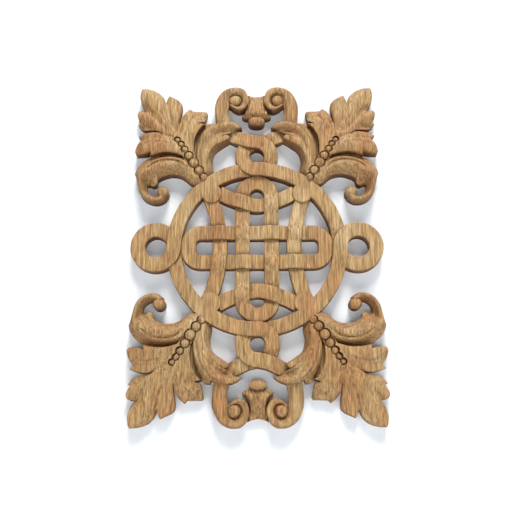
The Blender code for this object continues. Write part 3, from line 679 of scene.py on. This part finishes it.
def ridge_heights(points, ridges, floor, soft=0.5):
    """Height at each point under rounded ridges, each given as its fall and then its course."""
    pts = np.asarray(points, float)
    best = np.full((len(ridges), len(pts)), -1e9)
    for n, (fall, *course) in enumerate(ridges):
        line_pts = np.array(smooth_run(course, RIDGE_STEP))
        for start, end in zip(line_pts, line_pts[1:]):
            run = end[:2] - start[:2]
            t = np.clip(((pts - start[:2]) @ run) / (run @ run), 0, 1)
            away = np.linalg.norm(pts - start[:2] - t[:, None] * run, axis=1)
            height = start[2] + (end[2] - start[2]) * t - fall * away ** 2
            best[n] = np.maximum(best[n], height)
    peak = best.max(axis=0)
    total = peak + soft * np.log(np.exp((best - peak) / soft).sum(axis=0))
    return np.maximum(total - RIDGE_DROP, floor)


def edge_points(edges, step):
    """Closed outline from runs of points between corners."""
    outline = []
    for run in edges:
        outline += smooth_run(run, step)[:-1]
    return outline


def inside(points, outline):
    """Which of the points lie inside the outline."""
    x, z = points[:, 0], points[:, 1]
    result = np.zeros(len(points), bool)
    for (ax, az), (bx, bz) in zip(outline, outline[1:] + outline[:1]):
        if az == bz:
            continue
        crosses = (az > z) != (bz > z)
        at = ax + (z - az) * (bx - ax) / (bz - az)
        result ^= crosses & (x < at)
    return result


def patch_form(outline, height_at, step):
    """Points, heights and faces of a carved top, made once for all four corners."""
    xs = [p[0] for p in outline]
    zs = [p[1] for p in outline]
    rows = []
    count = 0
    z = min(zs) + step * 0.5
    while z < max(zs):
        start = min(xs) + step * (0.5 if count % 2 else 0.0)
        rows += [(x, z) for x in np.arange(start, max(xs), step)]
        z += step * GRID_ROW
        count += 1
    grid = np.array(rows)
    grid = grid[inside(grid, outline)]
    closed = outline + outline[:1]
    grid = grid[line_distance(grid, closed) > step * 0.5]
    points = [Vector(p) for p in outline] + [Vector(p) for p in grid]
    loop = list(range(len(outline)))
    found = delaunay_2d_cdt(points, [], [loop], 1, 1e-5)
    flat = np.array([(v.x, v.y) for v in found[0]])
    away = line_distance(flat, closed)
    short = np.maximum(EDGE_EASE - away, 0)
    round_off = EDGE_EASE - np.sqrt(np.maximum(EDGE_EASE ** 2 - short ** 2, 0))
    tops = height_at(flat) - np.minimum(round_off, EDGE_EASE * EDGE_EASE_SHARE)
    return flat, tops, [list(f) for f in found[2]]


def patch(name, form, depth, sx, sz):
    """Solid with an upright edge along the outline and a carved top."""
    flat, tops, faces = form
    count = len(flat)
    directed = {}
    for face in faces:
        for a, b in zip(face, face[1:] + face[:1]):
            directed[(a, b)] = True
    rim = [(a, b) for a, b in directed if (b, a) not in directed]
    follow = dict(rim)
    start = rim[0][0]
    loop = [start]
    while follow[loop[-1]] != start:
        loop.append(follow[loop[-1]])
    lower = {v: count + i for i, v in enumerate(loop)}
    points = [(sx * x, h, sz * z) for (x, z), h in zip(flat, tops)]
    points += [(sx * flat[v][0], -depth, sz * flat[v][1]) for v in loop]
    faces = list(faces) + [[b, a, lower[a], lower[b]] for a, b in rim]
    faces.append([lower[v] for v in loop])
    return new_object(name, row_points(points), faces)


def loop_path():
    """Loop over the ring, from its top round the left side down to the ring."""
    path = arc(0, 0, LOOP_RADIUS, 90, 270)
    return [(x, LOOP_CENTRE + (z * LOOP_RISE / LOOP_RADIUS if z > 0 else z)) for x, z in path]


def ring_strands():
    """Big ring, side rings and figure-eight loops, as bands that weave over and under."""
    ring = RING_RADIUS
    high = (0, LOOP_CENTRE + LOOP_RISE)
    low = (0, ring)
    side = (ring, 0)
    far = SIDE_RING_CENTRE
    root = smooth_run(LEAF_ROOT, PATH_STEP)
    over, under, wide = RING_OVER, RING_UNDER, TWIST_REACH
    parts = []
    tip = (*LEAF_ROOT[-1], ROOT_UNDER, ROOT_REACH)
    parts += both_ways("root", list(reversed(root)), RING_TOP,
                       ((*high, LOOP_UNDER, LOOP_REACH), tip), (0, 1))
    path = join(loop_path(), arc(0, 0, ring, 90, 0))
    marks = ((*high, LOOP_UNDER, LOOP_REACH), (*low, over, LOOP_REACH), (*side, under, wide))
    parts += both_ways("upper quarter", path, RING_TOP, marks, (1, 1))
    path = arc(far, 0, SIDE_RING_RADIUS, 180, SIDE_RING_END)
    parts += both_ways("side ring foot", path, RING_TOP, ((*side, under, wide),), (1, 1))
    path = join(arc(far, 0, SIDE_RING_RADIUS, 0, 180), arc(0, 0, ring, 0, -90))
    marks = ((*side, over, wide), (low[0], -low[1], LOOP_UNDER, LOOP_REACH))
    parts += both_ways("lower quarter", path, RING_TOP, marks, (0, 1))
    path = join([(x, -z) for x, z in reversed(loop_path())], [(x, -z) for x, z in root])
    tip = (LEAF_ROOT[-1][0], -LEAF_ROOT[-1][1], ROOT_UNDER, ROOT_REACH)
    marks = ((low[0], -low[1], LOOP_UNDER, LOOP_REACH), (high[0], -high[1], over, LOOP_REACH), tip)
    parts += both_ways("lower loop", path, RING_TOP, marks, (1, 0))
    return parts


def knot_strands():
    """Uprights, crossbars and the four arcs inside the ring."""
    up, bar, end = UPRIGHT_X, BAR_Z, UPRIGHT_END
    over, under, reach = KNOT_OVER, KNOT_UNDER, KNOT_REACH
    swing = math.degrees(math.asin(bar / SIDE_ARC_RADIUS))
    side_x = SIDE_ARC_X + SIDE_ARC_RADIUS * (1 - math.cos(math.radians(swing)))
    cap = len(CAP_ARC) // 2 - 1
    cap_z = CAP_ARC[cap][1]
    top = KNOT_TOP
    parts = []

    def mark(x, z, change):
        return (x, z, change, reach)

    path = join(
        line((-up, cap_z), (-up, end)), arc(0, end, up, 180, 0),
        line((up, end), (up, cap_z)), line((up, cap_z), (up, bar)),
    )
    marks = (mark(-up, cap_z, under), mark(up, cap_z, over), mark(up, bar, under))
    parts += both_ways("upright end", path, top, marks, (1, 1))
    path = join(line((up, bar), (up, -bar)), line((up, -bar), (up, -cap_z)))
    marks = (mark(up, bar, under), mark(up, -bar, over), mark(up, -cap_z, under))
    parts += both_ways("upright", path, top, marks, (1, 1))

    reach_x = BAR_HALF_LENGTH - BAR_CORNER
    reach_z = bar - BAR_CORNER
    path = join(
        line((-up, bar), (-side_x, bar)), line((-side_x, bar), (-reach_x, bar)),
        arc(-reach_x, reach_z, BAR_CORNER, 90, 180),
        arc(-reach_x, -reach_z, BAR_CORNER, 180, 270),
        line((-reach_x, -bar), (-side_x, -bar)),
    )
    marks = (mark(-up, bar, under), mark(-side_x, bar, over), mark(-side_x, -bar, under))
    parts += both_ways("bar end", path, top, marks, (1, 1))
    path = join(line((-side_x, -bar), (-up, -bar)), line((-up, -bar), (up, -bar)))
    marks = (mark(-side_x, -bar, under), mark(-up, -bar, over), mark(up, -bar, under))
    parts += both_ways("bar", path, top, marks, (1, 1))

    centre = -SIDE_ARC_X - SIDE_ARC_RADIUS
    path = arc(centre, 0, SIDE_ARC_RADIUS, SIDE_ARC_SWEEP, swing)
    parts += both_ways("side arc end", path, top, (mark(-side_x, bar, under),), (0, 1))
    path = join(
        arc(centre, 0, SIDE_ARC_RADIUS, swing, -swing),
        arc(centre, 0, SIDE_ARC_RADIUS, -swing, -SIDE_ARC_SWEEP),
    )
    marks = (mark(-side_x, bar, under), mark(-side_x, -bar, over))
    parts += both_ways("side arc", path, top, marks, (1, 0))

    left = [(-x, z) for x, z in reversed(CAP_ARC[1:])]
    path = smooth_run(left + list(CAP_ARC), PATH_STEP)
    cross = min(range(len(path)), key=lambda i: math.dist(path[i], (up, cap_z)))
    marks = (mark(-up, cap_z, over), mark(up, cap_z, under))
    parts += both_ways("cap arc", path[:cross + 1], top, marks, (0, 1))
    parts += both_ways("cap arc end", path[cross:], top, (mark(up, cap_z, under),), (1, 0))
    return parts


def corner_parts(leaf, inner, sx, sz, offset):
    """Leaf, turned leaf, curl and the floor between them for one corner."""
    groove = [(sx * x, sz * z) for x, z in smooth_run(GROOVE, PATH_STEP)]
    x, z, radius, top = CURL_BALL
    return [
        patch("leaf", leaf, FEET["leaf"] + offset, sx, sz),
        patch("turned leaf", inner, FEET["turned leaf"] + offset, sx, sz),
        band("groove floor", groove, [GROOVE_TOP] * len(groove), FEET["groove floor"] + offset,
             half=GROOVE_HALF),
        strip("curl", CURL, CURL_SPACING, CURL_COLUMNS, FEET["curl"] + offset, sx, sz, CURL_LINES),
        dome("curl ball", sx * x, sz * z, radius, radius, top, FEET["curl ball"] + offset,
             BALL_SIDES, CURL_BALL_RINGS),
    ]


def bead_beds(sx, sz, offset):
    """Cutters for the sunk rings that the beads stand in."""
    return [
        disc_cutter(sx * x, sz * z, radius + BEAD_CLEARANCE,
                    BEAD_FLOOR - BED_SINK + BED_STEP * i + offset)
        for i, (x, z, radius, _) in enumerate(BEADS)
    ]


def disc_cutter(x, z, radius, floor):
    """Round cutter with a hollowed end."""
    rings = []
    for share, height in ((BED_SHARE, floor), (1.0, floor + BED_HOLLOW), (1.0, BED_TOP)):
        rings.append([
            (x + share * radius * math.cos(2 * math.pi * (i + 0.5) / BEAD_SIDES), height,
             z + share * radius * math.sin(2 * math.pi * (i + 0.5) / BEAD_SIDES))
            for i in range(BEAD_SIDES)
        ])
    return loft("bead bed", rings)


def bead_parts(sx, sz, offset):
    """String of beads of one corner."""
    return [
        dome("bead", sx * x, sz * z, radius, radius, top, FEET["bead"] + offset + BEAD_FOOT * i,
             BEAD_SIDES, BEAD_RINGS, BEAD_RISE)
        for i, (x, z, radius, top) in enumerate(BEADS)
    ]


def shell_top(points):
    """Fluted shell: falls away towards its free end."""
    x, z = points[:, 0], points[:, 1]
    t = np.clip((z - SHELL_FALL_START) / SHELL_FALL_LENGTH, 0, 1)
    top = SHELL_TOP + (SHELL_END_TOP - SHELL_TOP) * t ** SHELL_FALL_POWER
    rise = np.clip((z - SHELL_FOOT_START) / SHELL_FOOT_LENGTH, 0, 1)
    aside = np.clip(np.abs(x) - SHELL_SIDE_REACH, 0, SHELL_SIDE_REACH)
    top = top - (1 - rise) * SHELL_FOOT_DROP - aside * (1 - t) * SHELL_SIDE_SLOPE
    half = np.column_stack([np.abs(x), z])
    top = top - engrave(half, SHELL_LINES)
    return top + SHELL_FLUTE_DEPTH * 0.5 * np.cos(x / SHELL_HALF * math.pi * SHELL_FLUTES)


def crest_parts(shell, sz, offset):
    """Two scrolls with their eyes, the shell and its knob."""
    parts = []
    for sx in (-1, 1):
        lift = offset + CREST_FOOT * sx
        x, z, radius, top = SCROLL_EYE
        foot = FEET["scroll"] + lift
        parts.append(strip("scroll", SCROLL, SCROLL_SPACING, SCROLL_COLUMNS, foot, sx, sz))
        foot = FEET["scroll eye"] + lift
        parts.append(dome("scroll eye", sx * x, sz * z, radius, radius, top, foot, BALL_SIDES, EYE_RINGS))
        x, z, radius, top = SCROLL_EYE_BED
        foot = FEET["scroll eye bed"] + lift
        parts.append(disc("scroll eye bed", sx * x, sz * z, radius, top, foot, BALL_SIDES, EYE_BED_EDGE))
    parts.append(patch("shell", shell, FEET["shell"] + offset, 1, sz))
    web = []
    for height in (-FEET["shell web"] - offset, SHELL_WEB_TOP):
        web.append([(x, height, sz * z) for x, z in SHELL_WEB])
    parts.append(loft("shell web", web))
    x, z, wide, tall, top = KNOB
    foot = FEET["shell knob"] + offset
    parts.append(dome("shell knob", x, sz * z, wide, tall, top, foot, KNOB_SIDES, KNOB_RINGS))
    return parts


def combine(base, others, operation):
    """Boolean of one object with several others, which are then removed."""
    group = bpy.data.collections.new("operands")
    bpy.context.scene.collection.children.link(group)
    for item in others:
        for owner in list(item.users_collection):
            owner.objects.unlink(item)
        group.objects.link(item)
    step = base.modifiers.new(operation.lower(), "BOOLEAN")
    step.operation = operation
    step.operand_type = "COLLECTION"
    step.collection = group
    step.solver = SOLVER
    graph = bpy.context.evaluated_depsgraph_get()
    mesh = bpy.data.meshes.new_from_object(base.evaluated_get(graph))
    base.modifiers.clear()
    base.data = mesh
    for item in others:
        bpy.data.objects.remove(item)
    bpy.data.collections.remove(group)
    return base


def back_cutter():
    """Box behind the back plane, wider than the carving."""
    side = BACK_SIDE
    rings = []
    for height in (0.0, -BACK_DEPTH):
        rings.append([(x, height, z) for x, z in
                      ((-side, -side), (side, -side), (side, side), (-side, side))])
    return loft("back cutter", rings)


def carving():
    """The whole carving as one closed mesh."""
    leaf = patch_form(edge_points(LEAF_EDGES, RUN_STEP), leaf_top, PATCH_STEP)
    inner = patch_form(edge_points(TURNED_EDGES, RUN_STEP), turned_top, PATCH_STEP)
    right = edge_points(SHELL_EDGES, RUN_STEP)
    outline = right + [SHELL_EDGES[-1][-1]]
    outline += [(-x, z) for x, z in reversed(right) if x > AXIS_GAP]
    shell = patch_form(outline, shell_top, PATCH_STEP * SHELL_STEP)
    corners, channels, beads = [], [], []
    for index, (sx, sz) in enumerate(CORNERS):
        corners += corner_parts(leaf, inner, sx, sz, CORNER_FOOT * index)
        channels += bead_beds(sx, sz, BED_CORNER_STEP * index)
        beads += bead_parts(sx, sz, CORNER_FOOT * index)
    body = combine(corners[0], corners[1:], "UNION")
    body = combine(body, channels, "DIFFERENCE")
    rest = beads + ring_strands() + knot_strands()
    rest += crest_parts(shell, 1, 0.0) + crest_parts(shell, -1, LOWER_CREST_FOOT)
    x, z = BLOB_CENTRE
    for index, (sx, sz) in enumerate(CORNERS):
        foot = FEET["blob"] + BLOB_FOOT * index
        rest.append(disc("blob", sx * x, sz * z, BLOB_RADIUS, BLOB_TOP - BLOB_DROP, foot, BLOB_SIDES))
    body = combine(body, rest, "UNION")
    body = combine(body, [back_cutter()], "DIFFERENCE")
    body.name = "carving"
    body.data.name = "carving"
    return body


def leaf_top(points):
    """Carved top of the corner leaf."""
    return ridge_heights(points, LEAF_RIDGES, LEAF_FLOOR) - engrave(points, LEAF_LINES)


def turned_top(points):
    """Carved top of the turned leaf, with a slope down to its inner side."""
    top = ridge_heights(points, TURNED_RIDGES, TURNED_FLOOR)
    inner = smooth_run(TURNED_EDGES[-1], LINE_STEP)
    away = line_distance(points, inner)
    reach = np.clip((points[:, 1] - TURNED_SLOPE_START) / TURNED_SLOPE_LENGTH, 0, 1)
    width = TURNED_SLOPE[0] + (TURNED_SLOPE[1] - TURNED_SLOPE[0]) * reach
    rise = np.clip(away / width, 0, 1)
    share = TURNED_FIRST + (1 - TURNED_FIRST) * rise ** TURNED_POWER
    return TURNED_BASE + (top - TURNED_BASE) * share - engrave(points, TURNED_LINES)


def finish_mesh(item, low, high):
    """Smooth shading with sharp folds kept, inside the box of the solid."""
    mesh = item.data
    bm = bmesh.new()
    bm.from_mesh(mesh)
    bmesh.ops.triangulate(bm, faces=[f for f in bm.faces if len(f.verts) > 4])
    bmesh.ops.dissolve_degenerate(bm, dist=MERGE * MM, edges=bm.edges)
    bmesh.ops.triangulate(bm, faces=[f for f in bm.faces if len(f.verts) > 4])
    bm.to_mesh(mesh)
    bm.free()
    count = len(mesh.vertices)
    places = np.empty(count * 3)
    mesh.vertices.foreach_get("co", places)
    places = np.clip(places.reshape(-1, 3), low, high)
    mesh.vertices.foreach_set("co", places.ravel())
    mesh.polygons.foreach_set("use_smooth", [True] * len(mesh.polygons))
    mesh.set_sharp_from_angle(angle=math.radians(SHARP_ANGLE))
    mesh.update()


def node_maker(tree):
    """Short way to add a node with its values and its links."""
    def make(kind, values=(), links=(), **settings):
        node = tree.nodes.new(kind)
        for key, value in settings.items():
            setattr(node, key, value)
        for key, value in dict(values).items():
            node.inputs[key].default_value = value
        for key, source in dict(links).items():
            tree.links.new(source, node.inputs[key])
        return node
    return make


def blurred(grid, reach):
    """Grid smoothed over a reach given in cells."""
    cells = np.arange(-3 * reach, 3 * reach + 1)
    weights = np.exp(-0.5 * (cells / reach) ** 2)
    weights /= weights.sum()
    for axis in (0, 1):
        grid = np.apply_along_axis(lambda row: np.convolve(row, weights, "same"), axis, grid)
    return grid


def mark_painted_shade(body):
    """Stores on each vertex how far it lies below the carving around it, nought to one, as the mask for
    painted shade.
    """
    mesh = body.data
    flat = np.empty(len(mesh.vertices) * 3)
    mesh.vertices.foreach_get("co", flat)
    co = flat.reshape(-1, 3) / MM
    low = co.min(axis=0)
    col = ((co[:, 0] - low[0]) / RECESS_CELL).astype(int) + 1
    row = ((co[:, 2] - low[2]) / RECESS_CELL).astype(int) + 1
    high = -co[:, 1]
    tops = np.zeros((row.max() + 2, col.max() + 2))
    np.maximum.at(tops, (row, col), high)
    depth = np.zeros(len(co))
    for reach, share in RECESS_REACHES:
        around = blurred(tops, reach)[row, col]
        depth = np.maximum(depth, (around - high) / share)
    painted_shade_mask = mesh.attributes.new("painted_shade", "FLOAT", "POINT")
    painted_shade_mask.data.foreach_set("value", np.clip(depth, 0, 1))


def oak():
    """Bare sanded oak: upright growth layers, fibres and pores, with painted shade in the recesses, and
    side walls darker partly for their own tone and partly as painted shade.
    """
    mat = bpy.data.materials.new("oak")
    mat.use_nodes = True
    tree = mat.node_tree
    make = node_maker(tree)
    shader = tree.nodes["Principled BSDF"]
    place = make("ShaderNodeTexCoord").outputs["Object"]

    def stretched(scale):
        return make("ShaderNodeMapping", {"Scale": scale}, {"Vector": place}).outputs["Vector"]

    def noise(scale, detail, rough=0.5):
        values = {"Scale": 1.0, "Detail": detail, "Roughness": rough}
        return make("ShaderNodeTexNoise", values, {"Vector": stretched(scale)}).outputs["Fac"]

    def math_node(kind, first, second=0.0):
        node = make("ShaderNodeMath", operation=kind)
        for socket, value in zip(node.inputs, (first, second)):
            if isinstance(value, (int, float)):
                socket.default_value = value
            else:
                tree.links.new(value, socket)
        return node.outputs["Value"]

    def ramp(source, *stops):
        node = make("ShaderNodeValToRGB", links={"Fac": source})
        marks = node.color_ramp.elements
        while len(marks) < len(stops):
            marks.new(0.5)
        for mark, (position, colour) in zip(marks, stops):
            mark.position = position
            mark.color = (*colour, 1)
        return node.outputs["Color"]

    def blend(kind, amount, first, second):
        node = make("ShaderNodeMix", data_type="RGBA", blend_type=kind)
        for index, value in ((0, amount), (6, first), (7, second)):
            socket = node.inputs[index]
            if isinstance(value, (int, float)):
                socket.default_value = value
            elif isinstance(value, tuple):
                socket.default_value = (*value, 1)
            else:
                tree.links.new(value, socket)
        return node.outputs[2]

    split = make("ShaderNodeSeparateXYZ", links={"Vector": place})
    across = math_node("SUBTRACT", split.outputs["X"], PITH_X)
    behind = math_node("SUBTRACT", split.outputs["Y"], PITH_Y)
    across_squared = math_node("MULTIPLY", across, across)
    behind_squared = math_node("MULTIPLY", behind, behind)
    squares = math_node("ADD", across_squared, behind_squared)
    from_pith = math_node("SQRT", squares)
    sway = math_node("MULTIPLY", noise(SWAY_SCALE, 3), LAYER_SWAY)
    layers = math_node("DIVIDE", math_node("ADD", from_pith, sway), LAYER_WIDTH)
    layer = math_node("FRACT", layers)
    early = math_node("POWER", math_node("SUBTRACT", 1.0, layer), 2.0)

    broad = noise(BROAD_SCALE, 4)
    fibre = noise(FIBRE_SCALE, 2)
    fine = noise(FINE_SCALE, 2, 0.6)
    pores = noise(PORE_SCALE, 1)
    open_pore = math_node("GREATER_THAN", pores, PORE_LIMIT)
    pore = math_node("MULTIPLY", open_pore, math_node("ADD", early, LATE_WOOD_PORES))
    colour = ramp(broad, *BROAD_TONES)
    colour = blend("MULTIPLY", FIBRE_SHARE, colour, ramp(fibre, *FIBRE_TONES))
    colour = blend("MULTIPLY", FINE_SHARE, colour, ramp(fine, *FINE_TONES))
    colour = blend("MULTIPLY", LAYER_SHARE, colour, ramp(early, *LAYER_TONES))
    colour = blend("MIX", math_node("MULTIPLY", pore, PORE_SHARE), colour, OAK_PORE)
    normal = make("ShaderNodeNewGeometry").outputs["Normal"]
    upright = make("ShaderNodeSeparateXYZ", links={"Vector": normal})
    end_grain = math_node("POWER", math_node("ABSOLUTE", upright.outputs["Z"]), END_GRAIN_POWER)
    colour = blend("MULTIPLY", math_node("MULTIPLY", end_grain, END_GRAIN_SHARE), colour, OAK_END)
    # Side walls darkened: partly their own darker tone, partly painted shade
    facing = math_node("ABSOLUTE", upright.outputs["Y"])
    side = math_node("POWER", math_node("SUBTRACT", 1.0, facing), SIDE_TONE_AND_SHADE_POWER)
    colour = blend("MULTIPLY", side, colour, OAK_SIDE_TONE_AND_SHADE)
    # Painted shade: darkens the recesses by their depth, kept off the flat back
    painted_shade_mask = make("ShaderNodeAttribute", attribute_name="painted_shade").outputs["Fac"]
    front = math_node("SUBTRACT", 1.0, math_node("MAXIMUM", upright.outputs["Y"], 0.0))
    colour = blend("MULTIPLY", math_node("MULTIPLY", painted_shade_mask, front), colour, OAK_PAINTED_SHADE)
    tree.links.new(colour, shader.inputs["Base Color"])

    rough = ramp(fibre, *ROUGH_TONES)
    tree.links.new(rough, shader.inputs["Roughness"])
    raised = math_node("MULTIPLY", fibre, FIBRE_HEIGHT)
    height = math_node("SUBTRACT", raised, math_node("MULTIPLY", pore, PORE_HEIGHT))
    values = {"Strength": BUMP_STRENGTH, "Distance": BUMP_DISTANCE}
    bump = make("ShaderNodeBump", values, {"Height": height})
    tree.links.new(bump.outputs["Normal"], shader.inputs["Normal"])
    return mat


def plain(name, colour, roughness):
    """Plain matt material."""
    mat = bpy.data.materials.new(name)
    mat.use_nodes = True
    shader = mat.node_tree.nodes["Principled BSDF"]
    shader.inputs["Base Color"].default_value = (*colour, 1)
    shader.inputs["Roughness"].default_value = roughness
    return mat


def one_sided(name, colour, roughness):
    """Plain matt material that is clear from behind."""
    mat = plain(name, colour, roughness)
    tree = mat.node_tree
    behind = tree.nodes.new("ShaderNodeNewGeometry").outputs["Backfacing"]
    choice = tree.nodes.new("ShaderNodeMixShader")
    tree.links.new(behind, choice.inputs[0])
    tree.links.new(tree.nodes["Principled BSDF"].outputs[0], choice.inputs[1])
    tree.links.new(tree.nodes.new("ShaderNodeBsdfTransparent").outputs[0], choice.inputs[2])
    tree.links.new(choice.outputs[0], tree.nodes["Material Output"].inputs["Surface"])
    return mat


def plane(name, centre, size, rotation, mat):
    """Flat stage piece."""
    mesh = bpy.data.meshes.new(name)
    half = size / 2
    mesh.from_pydata([(-half, -half, 0), (half, -half, 0), (half, half, 0), (-half, half, 0)],
                     [], [(0, 1, 2, 3)])
    item = bpy.data.objects.new(name, mesh)
    item.location = centre
    item.rotation_euler = [math.radians(a) for a in rotation]
    item.data.materials.append(mat)
    bpy.context.scene.collection.objects.link(item)
    return item


def area_light(name, place, target, size, power, colour):
    """Soft square light aimed at a point."""
    light = bpy.data.lights.new(name, "AREA")
    light.shape = "SQUARE"
    light.size = size
    light.energy = power
    light.color = colour
    item = bpy.data.objects.new(name, light)
    item.location = place
    item.rotation_euler = (Vector(target) - Vector(place)).to_track_quat("-Z", "Y").to_euler()
    bpy.context.scene.collection.objects.link(item)
    return item


def studio():
    """Pale backdrop and floor, soft lights, and the camera."""
    pale = plain("pale backdrop", PALE, PALE_ROUGHNESS)
    clear_behind = one_sided("pale wall", PALE, PALE_ROUGHNESS)
    wall = plane("backdrop", WALL_PLACE, WALL_SIZE, WALL_TURN, clear_behind)
    floor = plane("floor", FLOOR_PLACE, FLOOR_SIZE, FLOOR_TURN, pale)
    wall.visible_shadow = False
    for light in LIGHTS:
        area_light(*light)
    world = bpy.data.worlds.new("studio")
    world.use_nodes = True
    sky = world.node_tree.nodes["Background"]
    sky.inputs["Color"].default_value = (*SKY_COLOUR, 1)
    sky.inputs["Strength"].default_value = SKY_STRENGTH
    bpy.context.scene.world = world
    camera = bpy.data.cameras.new("camera")
    camera.lens = CAMERA_LENS
    camera.sensor_width = CAMERA_SENSOR
    item = bpy.data.objects.new("camera", camera)
    item.location = CAMERA_PLACE
    tilt = Matrix.Rotation(math.radians(CAMERA_TILT), 3, "X")
    roll = Matrix.Rotation(math.radians(CAMERA_ROLL), 3, "Z")
    item.rotation_euler = (tilt @ roll).to_euler()
    bpy.context.scene.collection.objects.link(item)
    bpy.context.scene.camera = item
    bpy.context.scene.view_settings.view_transform = "Standard"


for item in list(bpy.data.objects):
    bpy.data.objects.remove(item)
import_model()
loaded_low, loaded_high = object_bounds()
body = carving()
finish_mesh(body, loaded_low, loaded_high)
mark_painted_shade(body)
body.data.materials.clear()
body.data.materials.append(oak())
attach(body, "root")
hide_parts("applique")
studio()
